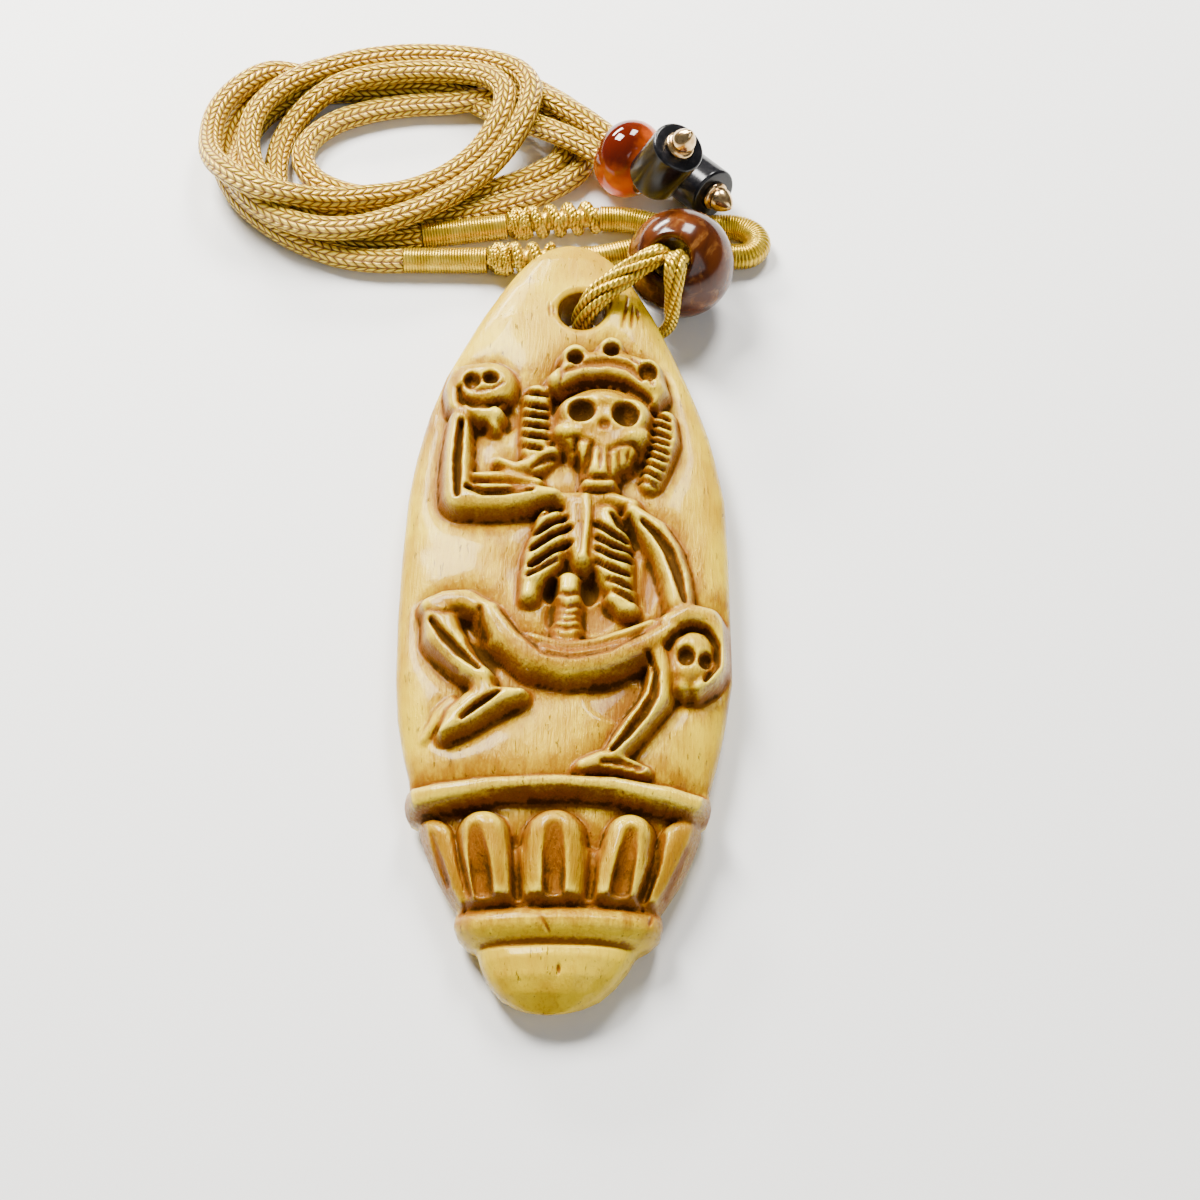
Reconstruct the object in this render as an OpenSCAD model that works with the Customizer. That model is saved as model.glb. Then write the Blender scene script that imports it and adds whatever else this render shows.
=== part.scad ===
// Skull amulet pendant: a carved bone plaque hung by a small thread loop from a braided
// necklace cord, with a round brown bead, wound sleeves, spiral knots, a sliding amber bead
// and two black end beads with brass tips. The pendant lies on its back, with its hole end
// towards +Y and its carved front up, and the cord lies loosely coiled beyond the hole end.

/* [Pendant] */
// Length of the bone pendant, from its round tip to its hole end
pendant_l = 97; // [94:0.5:100]
// Width of the pendant at its widest place
pendant_w = 36.5; // [35:0.5:38]
// How far the hole end rises off the surface, where the thread loop passes under it
bow_rise = 4; // [3.9:0.1:4.2]
// Diameter of the hole for the thread loop
hole_d = 5.6; // [5:0.1:6]
// How far the carved figure stands up from its ground
relief_h = 1.5; // [1:0.1:1.8]

/* [Beads] */
// Diameter of the round brown bead
bead_d = 13.2; // [12.8:0.1:13.3]
// Diameter of the brown bead's hole
bead_bore_d = 4.9; // [4.7:0.1:5.2]
// Diameter of the amber bead that slides on the cord
slider_d = 10; // [9.6:0.1:10]
// Length of the amber bead along its hole
slider_l = 6; // [5.6:0.1:6]
// Diameter of the amber bead's hole, which takes both cords side by side
slider_bore_d = 6.7; // [6.6:0.1:7]
// Diameter of the black end beads
end_d = 6.6; // [6.2:0.1:6.6]
// Length of the black end beads
end_l = 7.6; // [7:0.1:7.6]
// Height of the brass tips
tip_l = 3.4; // [3:0.1:3.6]

/* [Cord] */
// Diameter of the braided cord
cord_d = 3; // [2.9:0.05:3.05]
// Diameter of the cord where thread is wound over it
sleeve_d = 3.1; // [3:0.05:3.15]
// Diameter of the spiral knots
knot_d = 4.2; // [4:0.1:4.3]
// Diameter of one side of the thread loop that holds the pendant
loop_d = 1.9; // [1.7:0.1:2]

/* [Hidden] */

bone = [0.87, 0.70, 0.28];
dark_bone = [0.62, 0.38, 0.10];
gold_cord = [0.86, 0.71, 0.42];
gold_thread = [0.80, 0.66, 0.16];
brown_horn = [0.38, 0.16, 0.07];
amber = [0.75, 0.25, 0.03];
black_horn = [0.08, 0.08, 0.09];
brass = [0.72, 0.52, 0.28];

// The outline was drawn at these sizes, and follows the driving sizes from there
drawn_l = 97;
drawn_w = 36.5;
along = pendant_l / drawn_l;
across = pendant_w / drawn_w;

// Stations of the pendant from the tip to the hole end.
// Columns: place along Y, half width, height of the front at the middle, height of the edge
stations = [
    [-48.5, 1.2, 3.4, 2.6],
    [-47.9, 3.2, 4.1, 2.6],
    [-46.6, 5.2, 5.0, 2.6],
    [-44.6, 6.8, 5.7, 2.6],
    [-42.6, 7.8, 6.0, 2.6],
    [-42.0, 8.4, 6.0, 2.7],
    [-41.4, 9.3, 6.8, 2.9],
    [-40.0, 10.3, 7.2, 3.0],
    [-38.6, 10.5, 7.0, 3.0],
    [-38.0, 10.3, 6.4, 2.9],
    [-34.5, 12.5, 6.9, 3.1],
    [-31.0, 14.0, 7.2, 3.2],
    [-28.8, 14.8, 7.2, 3.3],
    [-28.2, 15.8, 8.3, 3.5],
    [-26.0, 16.1, 8.5, 3.5],
    [-24.8, 15.8, 8.0, 3.5],
    [-24.2, 15.9, 7.0, 3.4],
    [-19.0, 16.9, 7.1, 3.4],
    [-11.5, 18.0, 7.2, 3.5],
    [-4.0, 18.25, 7.2, 3.5],
    [4.0, 18.25, 7.3, 3.6],
    [12.0, 18.0, 7.4, 3.7],
    [20.6, 16.5, 7.6, 3.9],
    [26.0, 14.7, 7.9, 4.1],
    [31.0, 12.8, 8.3, 4.4],
    [36.0, 10.8, 8.5, 4.8],
    [40.8, 8.4, 8.3, 5.1],
    [44.5, 6.2, 8.0, 5.4],
    [47.0, 4.1, 7.4, 5.4],
    [48.5, 1.6, 6.6, 5.4],
];
front_steps = 12;
back_steps = 8;
bow_start = -5;
bow_end = 48.5;
back_belly = 0.6;
tip_start = -42;
tip_run = 6.4;
tip_rise = 1.5;
front_fullness = 0.6;
back_fullness = 0.45;

function bow(y) = y < bow_start ? 0 : bow_rise * pow((y - bow_start) / (bow_end - bow_start), 2);
function tip_lift(y) = y > tip_start ? 0 : tip_rise * pow((tip_start - y) / tip_run, 2);

// One ring of the pendant: over the front from the right edge to the left, and back below
function ring(s) = let (
        y = s[0], w = s[1] * across, top = s[2], edge = s[3] + tip_lift(s[0]) / 3,
        low = bow(y) + tip_lift(y) - back_belly * w / (drawn_w / 2)
    ) concat(
        [for (i = [0 : front_steps]) let (a = 180 * i / front_steps)
            [w * cos(a), y * along, edge + (top - edge) * pow(sin(a), front_fullness)]],
        [for (i = [1 : back_steps - 1]) let (a = 180 + 180 * i / back_steps)
            [w * cos(a), y * along, edge - (edge - low) * pow(-sin(a), back_fullness)]]
    );

module loft(rows) {
    n = len(rows[0]);
    last = len(rows) - 1;
    points = [for (row = rows) each row];
    walls = [for (r = [0 : last - 1]) for (i = [0 : n - 1]) let (j = (i + 1) % n)
        each [[r * n + i, r * n + j, (r + 1) * n + j], [r * n + i, (r + 1) * n + j, (r + 1) * n + i]]];
    first_cap = [[for (i = [n - 1 : -1 : 0]) i]];
    last_cap = [[for (i = [0 : n - 1]) last * n + i]];
    polyhedron(points = points, faces = concat(first_cap, walls, last_cap));
}

// Outline of a stroke with round ends, from a with radius ra to b with radius rb
function stroke_outline(a, ra, b, rb) = let (
        angle = atan2(b[1] - a[1], b[0] - a[0]), steps = 5
    ) concat(
        [for (i = [0 : steps]) let (t = angle + 90 + 180 * i / steps) a + ra * [cos(t), sin(t)]],
        [for (i = [0 : steps]) let (t = angle - 90 + 180 * i / steps) b + rb * [cos(t), sin(t)]]
    );

// The figure's limbs and ornaments.
// Columns: first end, its half width, second end, its half width, share of the relief height
strokes = [
    // forearm, upper arm and collarbones
    [[-12.4, 20.5], 1.3, [-12.3, 9.6], 1.5, 1],
    [[-12.2, 9.4], 1.6, [-2.0, 9.4], 1.5, 1],
    [[-2.0, 9.4], 1.5, [7.4, 8.8], 1.2, 0.9],
    // hand with the small skull, and its jaw
    [[-10.6, 25.6], 2.9, [-8.8, 25.6], 2.9, 1.15],
    [[-10.6, 21.6], 1.3, [-8.6, 21.6], 1.3, 0.9],
    // lowered arm
    [[7.4, 7.8], 1.5, [11.2, 2.4], 1.4, 0.9],
    [[11.2, 2.4], 1.4, [14.0, -5.2], 1.3, 0.9],
    // rib cage and spine
    [[-3.4, 5.2], 1.1, [0.3, 6.6], 1.1, 0.8],
    [[-3.6, 2.4], 1.1, [0.4, 4.0], 1.1, 0.8],
    [[-3.9, -0.4], 1.1, [-0.2, 1.4], 1.1, 0.8],
    [[4.2, 6.0], 1.1, [7.2, 4.0], 1.1, 0.8],
    [[4.0, 3.4], 1.1, [7.2, 1.2], 1.1, 0.8],
    [[4.6, 0.8], 1.1, [7.4, -1.6], 1.1, 0.8],
    [[5.6, -1.8], 1.0, [7.6, -4.2], 1.0, 0.8],
    [[2.5, 8.2], 0.7, [2.1, 1.6], 0.5, 1],
    [[1.9, 7.2], 2.2, [1.9, 2.8], 1.7, 0.7],
    [[0.6, -1.0], 1.2, [0.5, -7.6], 1.3, 0.7],
    // thigh band across the body
    [[-13.6, -5.2], 1.9, [-9.4, -5.2], 1.7, 1.1],
    [[-9.2, -5.4], 1.7, [-5.8, -9.6], 1.8, 1.1],
    [[-5.8, -9.6], 1.8, [-1.6, -12.4], 1.7, 1.1],
    [[-1.6, -12.4], 1.7, [3.4, -12.6], 1.7, 1.1],
    [[3.4, -12.6], 1.7, [9.4, -10.6], 1.6, 1.1],
    [[9.4, -10.6], 1.6, [14.0, -5.6], 1.4, 1.1],
    // raised lower leg and its foot
    [[-14.0, -7.0], 1.9, [-8.8, -12.4], 1.3, 1],
    [[-8.6, -12.6], 1.1, [-8.2, -15.0], 1.4, 1],
    [[-4.4, -15.4], 1.0, [-8.8, -16.6], 1.8, 1],
    [[-8.8, -16.6], 1.8, [-12.2, -20.0], 0.8, 1],
    // standing lower leg and its foot
    [[9.6, -11.6], 1.7, [10.2, -15.4], 1.4, 1],
    [[10.2, -15.4], 1.4, [5.8, -21.6], 1.1, 1],
    [[3.2, -23.4], 1.0, [8.2, -23.6], 0.9, 0.9],
    // ear ornaments
    [[-3.4, 23.8], 1.6, [-3.4, 17.2], 1.6, 0.9],
    [[11.4, 21.6], 1.3, [10.8, 17.0], 1.3, 0.9],
    [[10.8, 17.0], 1.3, [9.8, 12.6], 1.3, 0.9],
    [[-1.8, 15.4], 1.4, [-6.4, 13.8], 0.7, 0.7],
    // crown with its knobs
    [[0.6, 26.4], 1.9, [4.4, 28.0], 1.9, 1.1],
    [[4.4, 28.0], 1.9, [9.2, 25.6], 1.8, 1.1],
    [[0.9, 29.2], 1.7, [0.9, 29.6], 1.7, 1.1],
    [[5.1, 30.2], 1.8, [5.1, 30.4], 1.8, 1.1],
    [[9.4, 27.0], 1.8, [9.4, 27.2], 1.8, 1.1],
];

// Round raised places.
// Columns: centre, radius, share of the relief height
discs = [
    [[4.3, 20.9], 5.3, 1.3],
    [[4.3, 15.4], 3.4, 1.0],
    [[14.2, -11.0], 3.2, 1.2],
];

// Drilled pits.
// Columns: centre, radius, depth
pits = [
    [[1.8, 21.1], 1.4, 1.6],
    [[6.8, 20.6], 1.5, 1.6],
    [[4.3, 18.9], 0.6, 0.8],
    [[0.9, 29.0], 0.8, 0.9],
    [[5.1, 30.0], 0.8, 0.9],
    [[9.4, 26.7], 0.9, 0.9],
    [[-11.0, 25.7], 1.0, 1.1],
    [[-8.8, 25.9], 1.0, 1.1],
    [[13.3, -10.8], 1.0, 1.1],
    [[15.2, -11.4], 0.8, 1.1],
];

// Lotus petals.
// Columns: place across, half width
petals = [
    [-12.3, 1.7],
    [-8.0, 2.6],
    [-0.4, 3.0],
    [7.2, 2.6],
    [11.6, 1.6],
];
petal_low = -37;
petal_high = -29.6;
petal_top = 7.5;
petal_base = 5;
petal_gather = 0.88;
petal_taper = 0.8;

// The carving gets lower towards the sides by these shares, at this far from the middle
figure_fall = 0.45;
petal_fall = 0.58;
fall_reach = 18;

ground_top = 7.2;
relief_base = 5.6;
hole_at = [1.5, 36.8];
deep = 20;

module on_pendant(at) {
    translate([at[0] * across, at[1] * along, 0])
        children();
}

module figure() {
    for (s = strokes)
        translate([0, 0, relief_base])
            linear_extrude(ground_top - relief_base + relief_h * s[4] * rim_share(s))
                polygon(stroke_outline(placed(s[0]), s[1], placed(s[2]), s[3]));
    for (d = discs)
        on_pendant(d[0])
            translate([0, 0, relief_base])
                cylinder(h = ground_top - relief_base + relief_h * d[2], r = d[1], $fn = 48);
}

function placed(p) = [p[0] * across, p[1] * along];

// The figure's limbs near the sides are lower, as the plaque falls away there
function rim_share(s) = 1 - figure_fall * pow(max(abs(s[0][0]), abs(s[2][0])) / fall_reach, 2);

module lotus() {
    for (p = petals)
        translate([0, 0, petal_base])
            linear_extrude((petal_top - petal_base) * (1 - petal_fall * pow(p[0] / fall_reach, 2)))
                polygon(stroke_outline(placed([p[0] * petal_gather, petal_low]), p[1] * petal_taper,
                                       placed([p[0], petal_high - p[1]]), p[1]));
}

module bone_pendant() {
    color(bone)
        difference() {
            union() {
                loft([for (s = stations) ring(s)]);
                figure();
                lotus();
            }
            translate([-deep, -3 * deep, -deep])
                cube([2 * deep, 6 * deep, deep]);
            on_pendant(hole_at)
                cylinder(h = 3 * deep, d = hole_d, center = true, $fn = 48);
            for (p = pits)
                on_pendant(p[0])
                    translate([0, 0, ground_top + relief_h - p[2]])
                        cylinder(h = deep, r = p[1], $fn = 24);
        }
}

// Vector work for tubes
function unit(v) = v / norm(v);
function heading(points, i) =
    unit(points[min(i + 1, len(points) - 1)] - points[max(i - 1, 0)]);
function square_to(u, h) = unit(u - (u * h) * h);

// A tube of eight sides along hand-placed points. Each ring is square to the route there,
// and its first side is carried over from the ring before, so that the tube doesn't twist.
// The first and last heading may be set, so that an end lies flat on its neighbour.
module tube(points, d, first = undef, last = undef, sides = 8) {
    count = len(points);
    function aim(i) = i == 0 && !is_undef(first) ? unit(first)
        : i == count - 1 && !is_undef(last) ? unit(last)
        : heading(points, i);
    start = square_to([0.1, 0.2, 1], aim(0));
    carried = [for (i = 0, u = start; i < count; i = i + 1,
                    u = i < count ? square_to(u, aim(i)) : u) u];
    rows = [for (i = [0 : count - 1]) let (u = carried[i], v = cross(u, aim(i)))
        [for (k = [0 : sides - 1]) let (a = 360 * (k + 0.5) / sides)
            points[i] + d / 2 * (cos(a) * u + sin(a) * v)]];
    loft(rows);
}

// Brown bead: its centre, and the direction in which its hole's mouth looks
bead_at = [13.4, 45.6, bead_d / 2];
mouth_turn = -114.4;
mouth_lean = 37;
mouth_way = [sin(mouth_lean) * cos(mouth_turn), sin(mouth_lean) * sin(mouth_turn), cos(mouth_lean)];
mouth_side = [cos(mouth_turn + 90), sin(mouth_turn + 90), 0];
loop_half = 1.05;
bore_reach = 5.2;

module brown_bead() {
    color(brown_horn)
        translate(bead_at)
            rotate([0, mouth_lean, mouth_turn])
                difference() {
                    sphere(d = bead_d, $fn = 64);
                    cylinder(h = 2 * bead_d, d = bead_bore_d, center = true, $fn = 32);
                }
}

// A place in the bead's bore: how far towards the mouth, and on which side
function in_bore(s, side) = bead_at + s * mouth_way + side * loop_half * mouth_side;

// The thread loop: from the collar on the wound cord behind the bead, through the bead,
// over the pendant's edge, down through its hole, back below it and through the bead again
collar_at = [14.9, 52.4, 1.6];
collar_l = 3.6;
collar_d = 3.5;
loop_route = [
    [13.75, 50.75, 1.6],
    [13.75, 50.0, 1.75],
    in_bore(-bore_reach, -1),
    in_bore(0, -1),
    in_bore(bore_reach, -1),
    [10.5, 42.0, 12.1],
    [8.9, 41.2, 11.7],
    [7.0, 40.5, 10.6],
    [4.9, 39.2, 9.8],
    [3.2, 37.9, 9.1],
    [1.9, 37.0, 7.2],
    [1.5, 36.7, 4.4],
    [2.2, 36.9, 1.9],
    [4.4, 37.6, 1.0],
    [7.6, 38.2, 1.05],
    [10.4, 38.0, 2.0],
    [12.0, 37.7, 4.4],
    [12.3, 37.8, 7.6],
    [12.4, 38.6, 10.8],
    [12.6, 40.2, 12.4],
    in_bore(bore_reach, 1),
    in_bore(0, 1),
    in_bore(-bore_reach, 1),
    [15.95, 50.0, 1.7],
    [16.0, 50.75, 1.6],
];

module hanging_loop() {
    color(gold_thread) {
        tube(loop_route, loop_d);
        translate(collar_at)
            rotate([0, 90, 0])
                difference() {
                    cylinder(h = collar_l, d = collar_d, center = true, $fn = 32);
                    cylinder(h = 2 * collar_l, d = sleeve_d + 0.05, center = true, $fn = 32);
                }
    }
}

// Outer outline of the coil's lower layer, from the lower sleeve's end round the left
coil_left = [
    [-21.0, 48.6], [-25.0, 48.7], [-30.0, 49.6], [-35.0, 51.8], [-40.2, 55.6], [-44.8, 60.6],
    [-47.8, 65.0], [-48.4, 70.0], [-47.4, 75.0], [-44.8, 79.6], [-41.2, 82.4], [-37.5, 84.2],
    [-32.0, 86.4], [-26.0, 87.5], [-20.0, 87.5], [-14.0, 86.4], [-8.5, 84.2], [-4.0, 81.6],
];
// The lower layer's right end, where two strands turn back under the tails
coil_lobe = [
    [-1.0, 79.4], [1.6, 77.0], [3.3, 73.8], [3.6, 69.4], [2.4, 65.2], [-0.9, 61.6], [-6.6, 59.3],
    [-12.6, 57.4], [-19.0, 56.1],
];
// The upper layer's right side instead, along the two strands that cross on top
coil_right = [
    [-3.9, 76.5], [-4.6, 72.0], [-7.2, 66.4], [-11.0, 60.8], [-15.2, 57.2], [-19.0, 56.1],
];
sleeve_faces = [[-19.0, 52.85], [-21.0, 52.0]];
coil_opening = [
    [-33.0, 69.0], [-31.2, 72.0], [-27.0, 75.0], [-21.5, 77.2], [-16.0, 77.8], [-12.6, 76.6],
    [-12.4, 72.4], [-14.6, 67.6], [-18.4, 64.0], [-24.0, 62.4], [-29.4, 63.4], [-32.4, 65.8],
];
layer_h = 3.1;
layer_overlap = 0.1;

module cord_coil() {
    color(gold_cord)
        difference() {
            union() {
                linear_extrude(layer_h)
                    polygon(concat(coil_left, coil_lobe, sleeve_faces));
                translate([0, 0, layer_h - layer_overlap])
                    linear_extrude(layer_h)
                        polygon(concat(coil_left, coil_right, sleeve_faces));
            }
            translate([0, 0, -deep])
                linear_extrude(3 * deep)
                    polygon(coil_opening);
        }
}

// The amber bead and the two end beads: centres or back ends, and how they point
slider_at = [7.2, 64.6, 5];
slider_bulge = 0.6;
slider_turn = -35;
slider_way = [cos(slider_turn), sin(slider_turn), 0];
slider_side = [-sin(slider_turn), cos(slider_turn), 0];
end_a_back = [10.15, 57.9, 8.6];
end_a_turn = -27;
end_a_lean = 26;
end_b_back = [13.3, 64.95, end_d / 2 + 0.01];
end_b_turn = -52;
end_b_lean = 82;
socket_l = 1.5;
socket_d = cord_d + 0.1;
end_edge = 0.35;
tip_r = 1.8;
function end_way(turn, lean) = [sin(lean) * cos(turn), sin(lean) * sin(turn), cos(lean)];
end_a_way = end_way(end_a_turn, end_a_lean);
end_b_way = end_way(end_b_turn, end_b_lean);

module slider_bead() {
    color(amber)
        translate(slider_at)
            rotate([0, 90, slider_turn])
                difference() {
                    intersection() {
                        sphere(d = slider_d + slider_bulge, $fn = 64);
                        cylinder(h = slider_l, d = slider_d, center = true, $fn = 64);
                    }
                    cylinder(h = 2 * slider_l, d = slider_bore_d, center = true, $fn = 48);
                }
}

module end_bead(at, turn, lean) {
    color(black_horn)
        translate(at)
            rotate([0, lean, turn])
                difference() {
                    rotate_extrude($fn = 64)
                        polygon([[0, 0], [end_d / 2 - end_edge, 0], [end_d / 2, end_edge],
                                 [end_d / 2, end_l - end_edge], [end_d / 2 - end_edge, end_l], [0, end_l]]);
                    translate([0, 0, -1])
                        cylinder(h = socket_l + 1, d = socket_d, $fn = 32);
                }
}

module end_tip(at, turn, lean) {
    color(brass)
        translate(at + end_l * end_way(turn, lean))
            rotate([0, lean, turn])
                rotate_extrude($fn = 48)
                    polygon([[0, 0], [tip_r, 0], [tip_r, 0.5], [1.5, 1.3], [0.5, tip_l - 0.2], [0, tip_l]]);
}

module end_bead_a() {
    end_bead(end_a_back, end_a_turn, end_a_lean);
}

module end_bead_b() {
    end_bead(end_b_back, end_b_turn, end_b_lean);
}

module end_tip_a() {
    end_tip(end_a_back, end_a_turn, end_a_lean);
}

module end_tip_b() {
    end_tip(end_b_back, end_b_turn, end_b_lean);
}

// Tails of the two cords, from the coil through the amber bead into the end beads.
// A place in the amber bead's hole: how far along, how far to the side, and how high.
function in_slider(s, side, up) = slider_at + s * slider_way + side * slider_side + [0, 0, up];
tail_a_route = [
    [-4.3, 71.3, 4.75],
    [-0.8, 68.6, 4.9],
    [1.8, 66.6, 5],
    in_slider(-3.8, -1.55, 0),
    in_slider(-2.6, -1.55, 0),
    in_slider(0, -1.5, 0.3),
    in_slider(2.6, -1.5, 0.6),
    [9.3, 61.0, 5.4],
    [9.75, 59.6, 5.9],
    end_a_back - 0.7 * end_a_way,
    end_a_back + 1.3 * end_a_way,
];
tail_b_route = [
    [-3.75, 76.0, 4.75],
    [0.4, 72.6, 4.9],
    [3.2, 69.9, 5],
    in_slider(-3.8, 1.55, 0),
    in_slider(-2.6, 1.55, 0),
    in_slider(0, 1.5, -0.3),
    in_slider(2.85, 1.25, -0.7),
    end_b_back - 0.2 * end_b_way,
];

module cord_tail_a() {
    color(gold_cord)
        tube(tail_a_route, cord_d, first = [1, 0, 0], last = end_a_way);
}

module cord_tail_b() {
    color(gold_cord)
        tube(tail_b_route, cord_d, first = [1, 0, 0], last = end_b_way);
}

// The wound stretch of cord, from the coil's upper strand round the bead to the lower one
sleeve_upper_route = [[-18.95, 54.4, 1.6], [-13.8, 55.2, 1.6], [-8.3, 55.9, 1.8]];
knot_upper_route = [[-8.25, 55.9, 2.15], [-2.4, 56.6, 2.15], [3.45, 57.3, 2.15]];
apex_route = [
    [3.5, 57.3, 1.8], [7.5, 57.2, 1.6], [11.2, 56.2, 1.6], [15.0, 55.75, 1.6], [18.2, 56.1, 1.6],
    [21.0, 56.0, 1.6], [22.9, 54.9, 1.6], [23.5, 53.1, 1.6], [22.4, 51.5, 1.6], [20.4, 51.2, 1.6],
    [18.5, 51.8, 1.6], [16.8, 52.4, 1.6], [14.9, 52.4, 1.6], [11.2, 52.4, 1.6], [7.5, 51.9, 1.6],
    [3.0, 50.8, 1.6], [-2.35, 50.2, 1.8],
];
knot_lower_route = [[-2.4, 50.2, 2.15], [-6.5, 50.2, 2.15], [-10.45, 50.2, 2.15]];
sleeve_lower_route = [[-10.5, 50.2, 1.8], [-15.8, 50.3, 1.6], [-20.95, 50.3, 1.6]];

module sleeve_upper() {
    color(gold_thread)
        tube(sleeve_upper_route, sleeve_d, first = [1, 0, 0], last = [1, 0, 0]);
}

module knot_upper() {
    color(gold_thread)
        tube(knot_upper_route, knot_d, first = [1, 0, 0], last = [1, 0, 0]);
}

module sleeve_apex() {
    color(gold_thread)
        tube(apex_route, sleeve_d, first = [1, 0, 0], last = [-1, 0, 0]);
}

module knot_lower() {
    color(gold_thread)
        tube(knot_lower_route, knot_d, first = [-1, 0, 0], last = [-1, 0, 0]);
}

module sleeve_lower() {
    color(gold_thread)
        tube(sleeve_lower_route, sleeve_d, first = [-1, 0, 0], last = [-1, 0, 0]);
}

bone_pendant();
hanging_loop();
brown_bead();
cord_coil();
cord_tail_a();
cord_tail_b();
sleeve_upper();
knot_upper();
sleeve_apex();
knot_lower();
sleeve_lower();
slider_bead();
end_bead_a();
end_bead_b();
end_tip_a();
end_tip_b();
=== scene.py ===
# %% [markdown]
# # Skull amulet pendant
#
# A carved bone plaque lies on its back, with its hole end away from the viewer. A thread loop
# runs from its hole through a round brown bead to the necklace cord, which lies in loose turns
# beyond it. The cord's two ends come back through an amber bead and end in black horn beads
# with brass tips.
#
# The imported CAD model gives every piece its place. Each visual piece below is made at that
# place, in the same frame, and stands for its CAD node.

# %% load the frame
import math
import bpy
import numpy as np
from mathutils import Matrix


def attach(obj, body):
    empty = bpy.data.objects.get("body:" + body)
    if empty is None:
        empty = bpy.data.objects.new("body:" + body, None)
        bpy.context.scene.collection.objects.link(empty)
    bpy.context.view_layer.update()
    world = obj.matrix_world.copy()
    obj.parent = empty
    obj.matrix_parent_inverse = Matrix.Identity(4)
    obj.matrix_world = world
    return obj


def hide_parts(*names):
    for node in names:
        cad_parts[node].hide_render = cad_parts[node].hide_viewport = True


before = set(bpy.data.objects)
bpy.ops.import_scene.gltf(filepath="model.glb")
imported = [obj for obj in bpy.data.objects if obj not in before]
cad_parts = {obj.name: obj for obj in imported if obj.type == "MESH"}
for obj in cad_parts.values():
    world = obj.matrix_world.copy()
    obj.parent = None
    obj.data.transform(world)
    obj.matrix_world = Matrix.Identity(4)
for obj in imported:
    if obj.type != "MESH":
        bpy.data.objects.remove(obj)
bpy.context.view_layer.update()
bpy.ops.object.select_all(action="DESELECT")

# %% [markdown]
# ## Camera, floor and light
#
# The photograph looks down at the plaque at 58 degrees from its tip. A camera with a view of
# 34 degrees at 221 mm shows near and far parts in the photograph's proportions. The floor is
# plain and pale, and four soft lights stand round it: a window-like pair behind, which makes
# the bright patches on the polished beads, a narrow low one behind, which draws the upper
# edges of the carving, and a weak one in front.

# %% camera
MM = 0.001


def mm(*values):
    """Millimetres as metres."""
    return [v * MM for v in values]


azimuth, elevation, distance = math.radians(-0.41), math.radians(58), 221.3 * MM
ahead = (math.sin(azimuth) * math.cos(elevation), math.cos(azimuth) * math.cos(elevation),
         -math.sin(elevation))
target = mm(3.94, 1.28, 0)
bpy.ops.object.camera_add(location=[t - a * distance for t, a in zip(target, ahead)],
                          rotation=(math.pi / 2 - elevation, 0, -azimuth))
camera = bpy.context.object
camera.data.angle = math.radians(34)
camera.data.clip_start = 0.01
bpy.context.scene.camera = camera
print("camera at", [round(v, 4) for v in camera.location])

# %% floor
bpy.ops.mesh.primitive_plane_add(size=4, location=(0, 0, -0.00002))
floor = bpy.context.object
floor.name = "floor"
print("floor", round(floor.dimensions.x, 1), "m wide")

# %% lights


def soft_light(name, place, aim, size, power, colour):
    """An area light at place that faces aim."""
    bpy.ops.object.light_add(type="AREA", location=place)
    light = bpy.context.object
    light.name = name
    light.data.shape = "RECTANGLE"
    light.data.size, light.data.size_y = size
    light.data.energy = power
    light.data.color = colour
    way = np.array(aim) - np.array(place)
    flat = math.hypot(way[0], way[1])
    light.rotation_euler = (math.atan2(flat, -way[2]), 0, math.atan2(way[1], way[0]) - math.pi / 2)


soft_light("window_left", (-0.22, 0.30, 0.42), (0, 0.02, 0), (0.16, 0.22), 9.4, (1, 0.98, 0.94))
soft_light("window_right", (0.12, 0.36, 0.40), (0, 0.02, 0), (0.13, 0.19), 4.3, (1, 0.98, 0.94))
soft_light("low_window", (-0.17, 0.38, 0.17), (0, 0, 0), (0.16, 0.05), 2.6, (1, 0.96, 0.88))
soft_light("front_fill", (0.35, -0.40, 0.45), (0, 0, 0), (0.5, 0.5), 1.9, (0.97, 0.98, 1))
world = bpy.data.worlds.new("room")
bpy.context.scene.world = world
world.use_nodes = True
sky = world.node_tree.nodes["Background"].inputs
sky["Color"].default_value = (0.87, 0.87, 0.87, 1)
sky["Strength"].default_value = 0.19

# %% [markdown]
# ## Shader arithmetic
#
# Every material here is a node graph. The small class below lets a graph be written as sums:
# a Wire is one output socket, and adding or multiplying Wires makes the Math node for it.

# %% sums of sockets


class Wire:
    """One output socket of a node graph, which can be used in sums."""

    def __init__(self, tree, socket):
        self.tree = tree
        self.socket = socket

    def maths(self, operation, *others):
        values = dict(enumerate((self, *others)))
        return new_node(self.tree, "Math", 0, {"operation": operation}, values)

    def __add__(self, other):
        return self.maths("ADD", other)

    def __sub__(self, other):
        return self.maths("SUBTRACT", other)

    def __mul__(self, other):
        return self.maths("MULTIPLY", other)

    def __truediv__(self, other):
        return self.maths("DIVIDE", other)

    def __rsub__(self, other):
        return self.maths("MULTIPLY", -1).maths("ADD", other)

    __radd__, __rmul__ = __add__, __mul__

    def step(self, low, high):
        """0 below low, 1 above high, and a smooth rise between."""
        return new_node(self.tree, "MapRange", 0, {"interpolation_type": "SMOOTHSTEP"},
                        {0: self, 1: low, 2: high, 3: 0, 4: 1})


def plug(tree, slot, value):
    """Joins a Wire to a socket, or sets the socket's value."""
    if isinstance(value, Wire):
        tree.links.new(value.socket, slot)
    else:
        slot.default_value = value


def new_node(tree, kind, output, settings, values):
    """The Wire of one output of a new node, with its settings, and with values or Wires for its
    sockets by number or name."""
    node = tree.nodes.new("ShaderNode" + kind)
    for name, value in settings.items():
        setattr(node, name, value)
    for name, value in values.items():
        plug(tree, node.inputs[name], value)
    return Wire(tree, node.outputs[output])


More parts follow.
